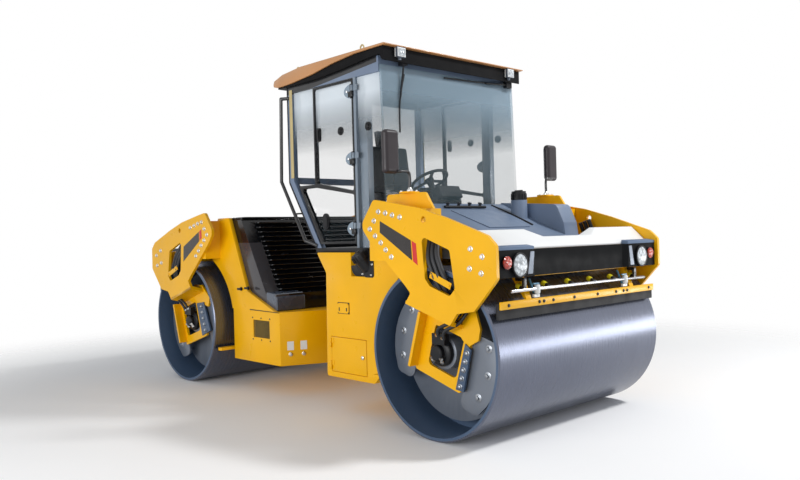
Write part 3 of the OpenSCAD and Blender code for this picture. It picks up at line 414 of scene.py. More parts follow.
NODE_EDGE = {"front_drum": 0.0, "rear_drum": 0.0, "grab_rails": 0.0, "console": 0.003}
ROUND_EDGE = 0.012
WELD = 0.00005
NODE_ANGLE = math.radians(38)
PIECE_ANGLE = math.radians(40)
CREASE_ANGLE = math.radians(42)


def soften(thing, edge, angle):
    """Smooth faces, rounded edges and sharp creases."""
    for face in thing.data.polygons:
        face.use_smooth = True
    if edge:
        bevel = thing.modifiers.new("edge", "BEVEL")
        bevel.width = edge
        bevel.segments = 2 if edge < ROUND_EDGE else 6
        bevel.limit_method = "ANGLE"
        bevel.angle_limit = angle
        bevel.harden_normals = True
    split = thing.modifiers.new("crease", "EDGE_SPLIT")
    split.split_angle = CREASE_ANGLE


for name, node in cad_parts.items():
    node.data.materials.clear()
    node.data.materials.append(NODE_SKIN[name])
    weld = node.modifiers.new("weld", "WELD")
    weld.merge_threshold = WELD
    soften(node, NODE_EDGE.get(name, EDGE), NODE_ANGLE)


# Pieces

BLOCK_FACES = [(0, 1, 3, 2), (4, 6, 7, 5), (0, 4, 5, 1), (2, 3, 7, 6), (0, 2, 6, 4), (1, 5, 7, 3)]
PRISM_FACES = [(0, 1, 2, 3), (4, 5, 6, 7), (0, 1, 5, 4), (1, 2, 6, 5), (2, 3, 7, 6), (3, 0, 4, 7)]


class Piece:
    """Collects the faces of one piece, drawn for the left front and mirrored to its end and side."""

    def __init__(self, end=FRONT, side=LEFT):
        self.mesh = bmesh.new()
        self.flip = Matrix.Diagonal((end, side, 1, 1))

    def faces(self, points, faces):
        corners = [self.mesh.verts.new(point) for point in points]
        for face in faces:
            self.mesh.faces.new([corners[i] for i in face])

    def rings(self, points, sides):
        """Closed surface over rings of points."""
        last = len(points) - sides
        faces = []
        for low in range(0, last, sides):
            for k in range(sides):
                after = (k + 1) % sides
                faces.append([low + k, low + after, low + sides + after, low + sides + k])
        faces += [list(range(sides))[::-1], [last + k for k in range(sides)]]
        self.faces(points, faces)

    def lathe(self, profile, at, axis, sides=24):
        """Turned shape of (radius, height) points along an axis from a place."""
        turn = Vector(axis).to_track_quat("Z", "Y").to_matrix()
        points = []
        for radius, height in profile:
            for k in range(sides):
                angle = 2 * math.pi * (k + 0.5) / sides
                around = Vector((radius * math.cos(angle), radius * math.sin(angle), height))
                points.append(Vector(at) + turn @ around)
        self.rings(points, sides)

    def block(self, low, high, at=(0, 0, 0), turn=Matrix.Identity(3)):
        """Box between two corners that are measured from a place and turned about it."""
        points = [Vector(at) + turn @ Vector(corner) for corner in product(*zip(low, high))]
        self.faces(points, BLOCK_FACES)

    def slab(self, outline, y, thick):
        """Outline in the X-Z plane from y to y + thick."""
        count = len(outline)
        points = [Vector((x, depth, z)) for depth in (y, y + thick) for x, z in outline]
        faces = [[k, (k + 1) % count, count + (k + 1) % count, count + k] for k in range(count)]
        faces += [list(range(count))[::-1], list(range(count, 2 * count))]
        self.faces(points, faces)

    def tube(self, path, radius, sides=12, steps=6):
        """Round tube through a path, with smooth bends."""
        path = [Vector(point) for point in path]
        line = []
        for i in range(len(path) - 1):
            before, start = path[max(i - 1, 0)], path[i]
            end, after = path[i + 1], path[min(i + 2, len(path) - 1)]
            for k in range(steps):
                t = k / steps
                line.append(0.5 * (2 * start + (end - before) * t
                                   + (2 * before - 5 * start + 4 * end - after) * t ** 2
                                   + (3 * start - before - 3 * end + after) * t ** 3))
        line.append(path[-1])
        points = []
        normal = (line[1] - line[0]).orthogonal().normalized()
        for i, point in enumerate(line):
            along = (line[min(i + 1, len(line) - 1)] - line[max(i - 1, 0)]).normalized()
            normal = (normal - along * normal.dot(along)).normalized()
            other = along.cross(normal)
            for k in range(sides):
                angle = 2 * math.pi * k / sides
                points.append(point + radius * (math.cos(angle) * normal + math.sin(angle) * other))
        self.rings(points, sides)

    def bolt(self, at, axis, size):
        """Hexagon bolt on its washer."""
        washer = [(1.25, -0.001 / size), (1.25, 0.16), (1.12, 0.26)]
        self.lathe([(size * r, size * h) for r, h in washer], at, axis, 20)
        head = Vector(at) + Vector(axis).normalized() * size * 0.2
        hexagon = [(1.0, 0.0), (1.0, 0.55), (0.82, 0.78), (0.3, 0.84)]
        self.lathe([(size * r, size * h) for r, h in hexagon], head, axis, 6)

    def make(self, name, body, material, edge=0.0):
        """Turns the faces into an object that rides on a body."""
        bmesh.ops.transform(self.mesh, matrix=self.flip, verts=self.mesh.verts)
        bmesh.ops.recalc_face_normals(self.mesh, faces=self.mesh.faces)
        data = bpy.data.meshes.new(name)
        self.mesh.to_mesh(data)
        self.mesh.free()
        data.materials.append(material)
        piece = bpy.data.objects.new(name, data)
        bpy.context.collection.objects.link(piece)
        soften(piece, edge, PIECE_ANGLE)
        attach(piece, body)
        return piece


def plate(name, body, material, place, outline, y, thick, edge=0.0):
    """Piece of one flat plate at an end and side."""
    piece = Piece(*place)
    piece.slab(outline, y, thick)
    piece.make(name, body, material, edge)


def upright(x0, z0, x1, z1):
    """Outline of a rectangle in the X-Z plane."""
    return [(x0, z0), (x1, z0), (x1, z1), (x0, z1)]


def round_slot(x, z, half_w, half_h, steps=8):
    """Upright slot outline with round ends."""
    outline = []
    for way in (1, -1):
        for k in range(steps + 1):
            angle = math.pi * k / steps
            rise = half_h - half_w + half_w * math.sin(angle)
            outline.append((x + way * half_w * math.cos(angle), z + way * rise))
    return outline


def leg_point(x, y, z):
    """A place in a drum leg's leaning frame."""
    return (AXLE_X + x * math.cos(LEG_LEAN) + z * math.sin(LEG_LEAN), y,
            AXLE_Z - x * math.sin(LEG_LEAN) + z * math.cos(LEG_LEAN))


# Side plates: bolts, stripe, hoses and clamp
PLATE_BOLTS = [(-0.504, 1.078), (-0.423, 1.064), (-0.345, 1.045), (-0.262, 1.026), (-0.559, 1.007),
               (-0.609, 0.944), (-0.548, 0.888), (-0.484, 0.834), (-0.428, 0.778), (-0.366, 0.723),
               (0.447, 0.781), (0.552, 0.727), (0.435, 0.643), (0.541, 0.612)]
PLATE_BOLT = 0.017
STRIPE_TOP = (Vector((-0.491, 0, 1.004)), Vector((-0.093, 0, 0.824)))
STRIPE_LOW = (Vector((-0.495, 0, 0.914)), Vector((-0.080, 0, 0.661)))
STRIPE_TIP = {FRONT: (0.885, 1.0), REAR: (0.0, 0.115)}
STRIPE_BAND = {FRONT: (0.0, 0.86), REAR: (0.14, 1.0)}
STRIPE_T = 0.0015
HOSE_PATH = [(0.00, 0.985, 0.97), (0.02, 1.03, 0.85), (0.06, 1.086, 0.73), (0.10, 1.0955, 0.64),
             (0.135, 1.0955, 0.57), (0.16, 1.06, 0.48), (0.17, 0.99, 0.41)]
HOSE_R = 0.019
HOSE_STEP = 0.044
CLAMP_AT = Vector((AXLE_X + 0.155, PLATE_OUT + 0.004, AXLE_Z + 0.555))
CLAMP_HALF = Vector((0.11, 0, 0.024))
CLAMP_T = Vector((0, 0.006, 0))
CLAMP_TURN = Matrix.Rotation(math.radians(22), 3, "Y")
CLAMP_BOLT_X = 0.095


def stripe_part(start, stop):
    """Outline of the stripe between two shares of its length."""
    corners = [STRIPE_TOP[0].lerp(STRIPE_TOP[1], start), STRIPE_TOP[0].lerp(STRIPE_TOP[1], stop),
               STRIPE_LOW[0].lerp(STRIPE_LOW[1], stop), STRIPE_LOW[0].lerp(STRIPE_LOW[1], start)]
    return [(AXLE_X + corner.x, AXLE_Z + corner.z) for corner in corners]


for place in product(END_NAME, SIDE_NAME):
    end, side = place
    body = BODY_OF[end]
    tag = f"{END_NAME[end]}_{SIDE_NAME[side]}"
    bolts = Piece(*place)
    for x, z in PLATE_BOLTS:
        bolts.bolt((AXLE_X + x, PLATE_OUT, AXLE_Z + z), OUT, PLATE_BOLT)
    bolts.make(f"plate_bolts_{tag}", body, zinc)
    plate(f"stripe_{tag}", body, stripe_black, place, stripe_part(*STRIPE_BAND[end]), PLATE_OUT, STRIPE_T)
    plate(f"stripe_tip_{tag}", body, stripe_red, place, stripe_part(*STRIPE_TIP[end]), PLATE_OUT, STRIPE_T)
    hoses = Piece(*place)
    for k in range(3):
        shift = (k - 1) * HOSE_STEP
        hoses.tube([(AXLE_X + x + shift, y, AXLE_Z + z + shift * 0.3) for x, y, z in HOSE_PATH], HOSE_R)
    hoses.make(f"plate_hoses_{tag}", body, hose_rubber)
    clamp = Piece(*place)
    clamp.block(-CLAMP_HALF, CLAMP_HALF + CLAMP_T, CLAMP_AT, CLAMP_TURN)
    for s in (-1, 1):
        clamp.bolt(CLAMP_AT + CLAMP_TURN @ Vector((s * CLAMP_BOLT_X, CLAMP_T.y, 0)), OUT, 0.009)
    clamp.make(f"hose_clamp_{tag}", body, paint, 0.002)

# Drum legs: bracket with its bolts, gusset, buffer bolts, motor and its hoses
WEB_IN = FORK_HALF - 0.140
WEB_OUT = WEB_IN + 0.025
CARRIER_OUT = WEB_IN - 0.002
LEG_FRONT = 0.255
LEG_BACK = -0.235
BUFFER_R = DRUM_R - 0.200
BUFFER_ANGLES = (-25, 0, 25)
BUFFER_WASHER = [(0.03, -0.001), (0.03, 0.003), (0.026, 0.005)]
GUSSET = {FRONT: ((0.10, 0.25), (0.20, 0.40), (0.33, 0.40), (0.392, 0.200), (0.371, 0.117), (0.262, 0.060)),
          REAR: ((-0.02, 0.40), (-0.20, 0.40), (-0.36, 0.27), (-0.33, 0.17), (-0.17, 0.20))}
BRACKET_T = 0.022
BRACKET_FACE = WEB_OUT + 0.014
BRACKET = {FRONT: (LEG_FRONT - 0.040, 1, 0.080), REAR: (LEG_BACK + 0.085, -1, 0.190)}
BRACKET_BOLT = [(0.021, -0.001), (0.021, 0.004), (0.017, 0.006), (0.017, 0.012), (0.012, 0.018),
                (0.004, 0.020)]
BRACKET_PITCH = 0.066
MOTOR_CASE = [(0.105, -0.002), (0.105, 0.035), (0.095, 0.045), (0.06, 0.05), (0.06, 0.085), (0.05, 0.095),
              (0.02, 0.097)]
MOTOR_BLOCK = (0.13, 0.055, 0.085)
FITTING = [(0.016, 0), (0.016, 0.018), (0.012, 0.02), (0.012, 0.034), (0.018, 0.036), (0.018, 0.05)]
FITTING_PLACES = ((-0.025, 0.10), (0.035, 0.10), (0.06, -0.055), (-0.03, -0.075))
FITTING_AXIS = (0.2, 0.5, 0.85)
MOTOR_HOSE_R = 0.014

for place in product(END_NAME, SIDE_NAME):
    end, side = place
    body = BODY_OF[end]
    tag = f"{END_NAME[end]}_{SIDE_NAME[side]}"
    edge, out, wide = BRACKET[end]
    corners = ((0.0, 0.16), (wide * 0.8, 0.135), (wide, -0.19), (0.0, -0.205))
    outline = [leg_point(edge + out * x, 0, z)[::2] for x, z in corners]
    plate(f"leg_bracket_{tag}", body, slate_paint, place, outline, BRACKET_FACE - BRACKET_T, BRACKET_T, 0.004)
    bolts = Piece(*place)
    for k in range(5):
        at = leg_point(edge + out * wide * 0.5, BRACKET_FACE, 0.10 - BRACKET_PITCH * k)
        bolts.lathe(BRACKET_BOLT, at, OUT, 20)
    bolts.make(f"leg_bracket_bolts_{tag}", body, dull_zinc)
    outline = [(AXLE_X + x, AXLE_Z + z) for x, z in GUSSET[end]]
    plate(f"leg_gusset_{tag}", body, paint, place, outline, WEB_IN + 0.002, WEB_OUT - WEB_IN - 0.001, 0.003)
    buffers = Piece(*place)
    for s in (-1, 1):
        for angle in BUFFER_ANGLES:
            x = s * BUFFER_R * math.cos(math.radians(angle))
            z = BUFFER_R * math.sin(math.radians(angle))
            buffers.lathe(BUFFER_WASHER, leg_point(x, CARRIER_OUT, z), OUT, 20)
            buffers.bolt(leg_point(x, CARRIER_OUT + 0.004, z), OUT, 0.015)
    buffers.make(f"buffer_bolts_{tag}", body, dull_zinc)
    motor = Piece(*place)
    motor.lathe(MOTOR_CASE, leg_point(0, CARRIER_OUT, 0), OUT, 32)
    motor.block((0, 0, 0), MOTOR_BLOCK, leg_point(-0.06, CARRIER_OUT + 0.03, 0.05))
    motor.make(f"drum_motor_{tag}", body, black_plastic, 0.004)
    fittings = Piece(*place)
    for x, z in FITTING_PLACES:
        fittings.lathe(FITTING, leg_point(x, CARRIER_OUT + 0.06, z), FITTING_AXIS, 6)
    fittings.make(f"motor_fittings_{tag}", body, zinc)
    hoses = Piece(*place)
    for x, top in ((-0.025, 0.11), (0.035, 0.16)):
        bends = ((x + 0.01, 0.08, 0.13), (x + 0.02, 0.10, 0.2), (top, 0.09, 0.3), (top + 0.03, 0.06, 0.39))
        hoses.tube([leg_point(u, CARRIER_OUT + away, w) for u, away, w in bends], MOTOR_HOSE_R)
    hoses.make(f"motor_hoses_{tag}", body, hose_rubber)

# Ends: lamps, panel strips, scraper bolts, nozzle caps and valves
FASCIA_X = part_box("front_fascia")[1][0]
LAMP_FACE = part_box("front_lamps")[1][0]
LAMP_Y = FORK_HALF - 0.249
LAMP_Z = AXLE_Z + 0.658
HEAD_LENS = [(0.078, -0.002), (0.078, 0.004), (0.066, 0.011), (0.04, 0.016), (0.012, 0.018)]
LAMP_RIM = [(0.088, -0.004), (0.088, 0.006), (0.084, 0.009), (0.079, 0.009), (0.077, 0.003)]
MARKER_Y = FORK_HALF - 0.106
MARKER_Z = AXLE_Z + 0.680
MARKER_LENS = [(0.045, -0.002), (0.045, 0.006), (0.036, 0.013), (0.015, 0.016)]
LENSES = {FRONT: (lens_white, lens_amber), REAR: (lens_red, lens_red)}
STRIP = ((0.725, 1.240), (0.668, 1.240), (0.645, 1.400), (0.690, 1.400))
STRIP_T = 0.004
SCRAPER_Z = BEAM_LOW[2] - 0.181
SCRAPER_BOLTS = (0.16, 0.43, 0.545, 0.60, 0.95)
NOZZLES = 6
NOZZLE_STEP = 0.300
NOZZLE_LEAN = math.radians(115)
NOZZLE_CAP = [(0.021, -0.016), (0.021, 0.016), (0.016, 0.022), (0.008, 0.024)]
VALVE_Y = 0.60
VALVE_BODY = [(0.018, -0.035), (0.022, -0.025), (0.022, 0.025), (0.017, 0.031)]
VALVE_FOOT = ((-0.012, -0.045, -0.060), (0.008, 0.02, -0.038))
VALVE_LEVER = ((-0.008, -0.05, 0.034), (0.008, 0.015, 0.044))
VALVE_PIPE = ((-0.01, 0, -0.02), (-0.03, 0.01, -0.05), (-0.06, 0.015, 0.01), (-0.08, 0.01, 0.07))

for end, tag in END_NAME.items():
    body = BODY_OF[end]
    heads, rims, markers = Piece(end), Piece(end), Piece(end)
    for s in (-1, 1):
        heads.lathe(HEAD_LENS, (LAMP_FACE, s * LAMP_Y, LAMP_Z), AHEAD, 40)
        rims.lathe(LAMP_RIM, (LAMP_FACE - 0.001, s * LAMP_Y, LAMP_Z), AHEAD, 40)
        markers.lathe(MARKER_LENS, (LAMP_FACE, s * MARKER_Y, MARKER_Z), AHEAD, 32)
    heads.make(f"{tag}_lamp_lenses", body, LENSES[end][0])
    rims.make(f"{tag}_lamp_rims", body, black_plastic)
    markers.make(f"{tag}_marker_lenses", body, LENSES[end][1])

    strips = Piece(end)
    for s in (-1, 1):
        strips.faces([(x, s * y, z) for x in (FASCIA_X, FASCIA_X + STRIP_T) for y, z in STRIP], PRISM_FACES)
    strips.make(f"{tag}_panel_strips", body, grey_steel, 0.001)

    bolts = Piece(end)
    for y in SCRAPER_BOLTS:
        for s in (-1, 1):
            bolts.bolt((SCRAPER_FACE, s * y, SCRAPER_Z), AHEAD, 0.010)
    bolts.make(f"{tag}_scraper_bolts", body, dark_steel)

    caps = Piece(end)
    along = Vector((math.sin(NOZZLE_LEAN), 0, math.cos(NOZZLE_LEAN)))
    for k in range(NOZZLES):
        start = Vector((SPRAY_X - 0.050, (k - (NOZZLES - 1) / 2) * NOZZLE_STEP, SPRAY_Z + 0.026))
        caps.lathe(NOZZLE_CAP, start + along * 0.002, -along, 12)
    caps.make(f"{tag}_nozzle_caps", body, cap_yellow, 0.001)

    valves, levers = Piece(end), Piece(end)
    for s in (-1, 1):
        at = Vector((SPRAY_X, s * VALVE_Y, SPRAY_Z))
        valves.lathe(VALVE_BODY, at, UP, 12)
        valves.block(*VALVE_FOOT, at)
        levers.block(*VALVE_LEVER, at)
        levers.tube([at + Vector(point) for point in VALVE_PIPE], 0.009)
    valves.make(f"{tag}_valves", body, white_plastic, 0.002)
    levers.make(f"{tag}_valve_levers", body, valve_blue, 0.002)

# Cab: hinge plates, handles, knobs, pillar strips, lifting eyes and wipers
HINGE_X = DOOR_FRONT + 0.0045
HINGE_Z = (SILL_Z + 0.165, SILL_Z + 0.767, ROOF_Z - 0.174)
HINGE_HALF = 0.062
HINGE_REACH = 0.105
HINGE_STUD = [(0.013, 0), (0.013, 0.006), (0.008, 0.012), (0.003, 0.013)]
GRIP_AT = (0.344, 2.464)
LATCH_AT = (0.410, 1.677)
KNOB = [(0.037, 0), (0.037, 0.010), (0.030, 0.014), (0.028, 0.010), (0.020, 0.010), (0.018, 0.020),
        (0.008, 0.024)]
KNOB_Z = 2.465
SIDE_PANE_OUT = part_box("side_glass")[1][1]
SEAL_Z = 2.06
EYE_Y = 0.86
EYES = ((0.97, 3.128), (0.05, 3.098))
EYE_BENDS = ((-0.02, -0.02), (-0.02, 0.012), (0, 0.028), (0.02, 0.012), (0.02, -0.02))
GLASS_LEAN = 0.047 / (ROOF_Z - SILL_Z)
WIPER_MOTOR_Z = ROOF_Z + 0.055


def on_glass(y, z, off, level=None):
    """A place off the windscreen's outer face, taken at its own height or at another level."""
    return (GLASS_FRONT - ((level or z) - SILL_Z) * GLASS_LEAN + off, y, z)


for side, tag in SIDE_NAME.items():
    door = f"door_{tag}"
    place = (FRONT, side)
    plates, studs, blocks = Piece(*place), Piece(*place), Piece(*place)
    for z in HINGE_Z:
        swing = [math.pi * k / 12 for k in range(13)]
        arc = [(HINGE_X - 0.012 - HINGE_REACH * math.sin(a), z - HINGE_HALF * math.cos(a)) for a in swing]
        plates.slab(arc, PANE_OUT, CAB_HALF - PANE_OUT + 0.006)
        studs.lathe(HINGE_STUD, (HINGE_X - 0.070, CAB_HALF + 0.006, z), OUT, 16)
        blocks.block((-0.028, 0.001, -HINGE_HALF), (-0.008, 0.013, HINGE_HALF), (HINGE_X, CAB_HALF, z))
    plates.make(f"hinge_plates_{tag}", door, clear_hinge, 0.002)
    studs.make(f"hinge_studs_{tag}", door, chrome)
    blocks.make(f"hinge_blocks_{tag}", door, black_plastic, 0.003)
    grips = Piece(*place)
    grips.slab(round_slot(*GRIP_AT, 0.021, 0.062), PANE_OUT, 0.024)
    grips.slab(round_slot(*GRIP_AT, 0.012, 0.045), PANE_OUT + 0.024, 0.008)
    grips.lathe(KNOB, (0.647, PANE_OUT, KNOB_Z), OUT, 28)
    grips.slab(round_slot(*LATCH_AT, 0.042, 0.075), PANE_OUT, 0.016)
    grips.slab(round_slot(*LATCH_AT, 0.028, 0.055), PANE_OUT + 0.016, 0.006)
    grips.make(f"door_grips_{tag}", door, black_plastic, 0.002)
    knob = Piece(*place)
    knob.lathe(KNOB, (1.01, SIDE_PANE_OUT, KNOB_Z), OUT, 28)
    knob.make(f"pane_knob_{tag}", "front_frame", black_plastic)
    strip = upright(-0.092, 2.10, -0.046, ROOF_Z - 0.03)
    plate(f"pillar_strip_{tag}", "front_frame", strip_beige, place, strip, CAB_HALF, 0.004, 0.001)
    seals = Piece(*place)
    seals.slab(upright(-0.131, SEAL_Z, -0.117, ROOF_Z), CAB_HALF, 0.003)
    seals.slab([(0.262, SILL_Z), (0.285, SILL_Z), (-0.112, SEAL_Z), (-0.131, SEAL_Z)], CAB_HALF, 0.003)
    seals.make(f"pillar_seal_{tag}", "front_frame", rubber, 0.001)
    eyes = Piece(*place)
    for x, z in EYES:
        eyes.tube([(x + dx, EYE_Y, z + dz) for dx, dz in EYE_BENDS], 0.007, 8, 5)
    eyes.make(f"roof_eyes_{tag}", "front_frame", strip_beige)

wipers = Piece()
wipers.block((1.19, -0.655, WIPER_MOTOR_Z - 0.05), (1.245, -0.595, WIPER_MOTOR_Z + 0.02))
wipers.tube([(1.235, -0.628, WIPER_MOTOR_Z), (1.222, -0.628, 2.93), on_glass(-0.632, 2.86, 0.022),
             on_glass(-0.660, 2.70, 0.018)], 0.008)
wipers.tube([on_glass(-0.600, 2.90, 0.012), on_glass(-0.662, 2.66, 0.010),
             on_glass(-0.678, 2.40, 0.010)], 0.007)
wipers.tube([on_glass(0.797, 2.957, 0.010, 2.90), on_glass(0.70, 2.955, 0.030, 2.94),
             on_glass(0.45, 2.94, 0.024, 2.93)], 0.009)
wipers.tube([on_glass(0.62, 2.952, 0.012, 2.94), on_glass(0.25, 2.938, 0.012, 2.93),
             on_glass(-0.106, 2.928, 0.012, 2.92)], 0.007)
wipers.block((1.19, 0.735, 2.93), (1.232, 0.815, 2.985))
wipers.make("wipers", "front_frame", black_plastic, 0.002)

# Work lamps: bezels and lenses
WORK_X, WORK_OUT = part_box("work_lamps")[1][:2]
WORK_AT = (WORK_X, WORK_OUT - 0.045, ROOF_Z)
for side, tag in SIDE_NAME.items():
    lens = Piece(FRONT, side)
    lens.block((-0.002, -0.036, 0.064), (0.005, 0.036, 0.121), WORK_AT)
    lens.make(f"work_lens_{tag}", "front_frame", lens_white, 0.003)
    rim = Piece(FRONT, side)
    rim.block((-0.026, -0.049, 0.051), (-0.004, 0.049, 0.134), WORK_AT)
    rim.block((-0.043, -0.012, 0.030), (-0.020, 0.012, 0.060), WORK_AT)
    rim.make(f"work_rim_{tag}", "front_frame", grey_steel, 0.004)

# Mirrors: heads, arms, glass, arm clamps and base bolts
MIRROR_LOW, MIRROR_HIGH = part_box("mirrors")
MIRROR_BACK, _, WING_TOP = MIRROR_LOW
MIRROR_X = MIRROR_BACK + 0.035
HEAD_HALF_Y = 0.075
HEAD_HALF_Z = 0.172
MIRROR_Y = MIRROR_HIGH[1] - HEAD_HALF_Y
MIRROR_Z = MIRROR_HIGH[2] - HEAD_HALF_Z
ARM_X = MIRROR_X + 0.054
ARM_Z = MIRROR_Z - 0.156
ARM_R = 0.0115
FOOT_Y = MIRROR_Y - 0.153
REACH_Y = MIRROR_Y - 0.052
ARM_CLAMP = [(0.026, -0.004), (0.026, 0.012), (0.018, 0.020), (0.013, 0.030)]
WING_BOLTS = ((0.005, -0.19), (0.005, -0.105), (0.090, -0.19), (0.090, -0.105))
heads = Piece()
for side in (LEFT, RIGHT):
    heads.block((0, -HEAD_HALF_Y, -HEAD_HALF_Z), (0.070, HEAD_HALF_Y, HEAD_HALF_Z),
                (MIRROR_BACK, side * MIRROR_Y, MIRROR_Z))
heads.make("mirror_heads", "front_frame", mirror_brown, 0.032)
arms = Piece()
for side in (LEFT, RIGHT):
    foot, reach = side * FOOT_Y, side * REACH_Y
    arms.tube([(ARM_X, foot, WING_TOP - 0.001), (ARM_X, foot, ARM_Z - 0.12), (ARM_X, foot, ARM_Z - 0.03),
               (ARM_X, foot + side * 0.022, ARM_Z), (ARM_X, reach - side * 0.020, ARM_Z),
               (ARM_X - 0.008, reach, ARM_Z), (MIRROR_X + 0.030, reach, ARM_Z)], ARM_R, 14)
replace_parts(arms.make("mirror_arms", "front_frame", black_tube), "mirrors")
for side, tag in SIDE_NAME.items():
    face = Piece(FRONT, side)
    face.block((-0.004, -0.055, -0.140), (0.004, 0.055, 0.140), (MIRROR_BACK, MIRROR_Y, MIRROR_Z))
    face.make(f"mirror_glass_{tag}", "front_frame", mirror_face, 0.003)
    clamps = Piece(FRONT, side)
    clamps.lathe(ARM_CLAMP, (ARM_X, FOOT_Y, WING_TOP), UP, 20)
    for dx, dy in WING_BOLTS:
        clamps.bolt((MIRROR_X + dx, MIRROR_Y + dy, WING_TOP), UP, 0.009)
    clamps.make(f"mirror_clamps_{tag}", "front_frame", zinc)

# Water tank: raised panel, seam, valves and ribbed cap
TANK_LOW, TANK_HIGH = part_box("water_tank")
CAP_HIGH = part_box("filler_caps")[1]
SLOPE_REAR = Vector((TANK_LOW[0] + 0.095, 0, TANK_LOW[2] + 0.430))
SLOPE_FRONT = Vector((TANK_HIGH[0] - 0.290, 0, TANK_LOW[2] + 0.168))
SLOPE_TURN = Matrix.Rotation(math.atan2(SLOPE_REAR.z - SLOPE_FRONT.z, SLOPE_FRONT.x - SLOPE_REAR.x), 3, "Y")
TANK_PANEL = ((0.10, -0.34), (0.10, 0.20), (0.50, 0.27), (0.50, -0.27))
TANK_SEAM = ((-0.03, 0.34), (0.12, 0.36), (0.30, 0.365), (0.46, 0.355))
TANK_VALVE = [(0.024, 0), (0.024, 0.012), (0.013, 0.016), (0.013, 0.030), (0.019, 0.032), (0.019, 0.044),
              (0.008, 0.047)]


def on_slope(u, y, height):
    """A place on the tank's sloping top."""
    return SLOPE_REAR + SLOPE_TURN @ Vector((u, y, height))


tank_panel = Piece()
tank_panel.faces([on_slope(u, y, height) for height in (-0.004, 0.006) for u, y in TANK_PANEL], PRISM_FACES)
tank_panel.make("tank_panel", "front_frame", slate_plastic, 0.004)
tank_seam = Piece()
tank_seam.tube([on_slope(u, y, 0.002) for u, y in TANK_SEAM], 0.009, 8)
tank_seam.make("tank_seam", "front_frame", rubber)
valve_row = Piece()
for k in range(4):
    valve_row.lathe(TANK_VALVE, on_slope(0.02, -0.30 + 0.14 * k, -0.002), (0.3, 0, 1), 12)
valve_row.make("tank_valves", "front_frame", dark_steel)
valve_pipe = Piece()
valve_pipe.tube([on_slope(0.045, y, 0.014) for y in (-0.36, -0.2, 0.0, 0.17)], 0.011)
valve_pipe.make("tank_valve_pipe", "front_frame", black_plastic)


def ribbed_cap(piece, low, high, radius, at, turn, ribs=18):
    """Screw cap with grip ribs, from low to high along a turned axis through a place."""
    rise = high - low
    base = Vector(at) + turn @ Vector((0, 0, low))
    piece.lathe([(radius, 0.0), (radius, rise * 0.75), (radius * 0.88, rise * 0.95), (radius * 0.5, rise)],
                base, turn @ Vector(UP), 40)
    for k in range(ribs):
        step = turn @ Matrix.Rotation(2 * math.pi * k / ribs, 3, "Z")
        piece.block((radius - 0.004, -0.005, 0.006), (radius + 0.005, 0.005, rise * 0.72), base, step)
    piece.block((-radius * 0.6, -0.01, rise - 0.004), (radius * 0.6, 0.01, rise + 0.010), base, turn)


TANK_CAP = (TANK_LOW[0] + 0.302, CAP_HIGH[1] - 0.065, 0)
FILLER_FACE = -BODY_HALF - 0.004
FILLER_AT = Vector((0.955, -BODY_HALF - 0.005, 1.345))
FILLER_TURN = Vector((-0.30, -0.45, 0.84)).to_track_quat("Z", "Y").to_matrix()
FILLER_OUTLINE = [(0.855, 1.330), (0.868, 1.275), (0.895, 1.235), (0.935, 1.205), (0.990, 1.190),
                  (1.075, 1.190), (1.090, 1.205), (1.090, 1.415), (0.855, 1.415)]
FILLER_SCREWS = ((1.070, 1.395), (1.070, 1.300), (1.055, 1.212), (0.945, 1.218))
caps = Piece()
ribbed_cap(caps, CAP_HIGH[2] - 0.080, CAP_HIGH[2] + 0.002, 0.067, TANK_CAP, Matrix.Identity(3))
ribbed_cap(caps, 0.0, 0.072, 0.078, FILLER_AT, FILLER_TURN)
caps.lathe([(0.060, -0.10), (0.066, -0.02), (0.066, 0.004)], FILLER_AT, FILLER_TURN @ Vector(UP), 32)
caps.slab(FILLER_OUTLINE, FILLER_FACE, 0.03)
caps.make("ribbed_caps", "front_frame", black_plastic, 0.002)
neck_screws = Piece()
for x, z in FILLER_SCREWS:
    neck_screws.bolt((x, FILLER_FACE, z), (0, -1, 0), 0.007)
neck_screws.make("filler_screws", "front_frame", zinc)

# Front body: slotted plate and hatch lock
SLOT_PLATE = [(0.60, 0.885), (0.615, 0.870), (0.735, 0.870), (0.75, 0.885), (0.75, 0.945), (0.735, 0.96),
              (0.615, 0.96), (0.60, 0.945)]
LOCK = [(0.017, -0.001), (0.017, 0.006), (0.013, 0.010), (0.004, 0.011)]
right_side = (FRONT, RIGHT)
plate("slot_plate", "front_frame", paint, right_side, SLOT_PLATE, BODY_HALF - 0.001, 0.009, 0.003)
# painted shadow: a dark sheet showing round the slotted plate's edges, where the raised plate throws shade
plate("slot_plate_shadow", "front_frame", rubber, right_side, upright(0.595, 0.865, 0.755, 0.965), BODY_HALF - 0.001,
      0.0022, 0.0005)
slots = Piece(*right_side)
for x in (0.625, 0.725):
    slots.slab(round_slot(x, 0.905, 0.006, 0.016), BODY_HALF + 0.008, 0.002)
slots.make("plate_slots", "front_frame", rubber)
lock = Piece(*right_side)
lock.lathe(LOCK, (0.925, -HATCH_LOW[1] - 0.011, 0.505), OUT, 24)
lock.make("hatch_lock", "hatch", zinc)

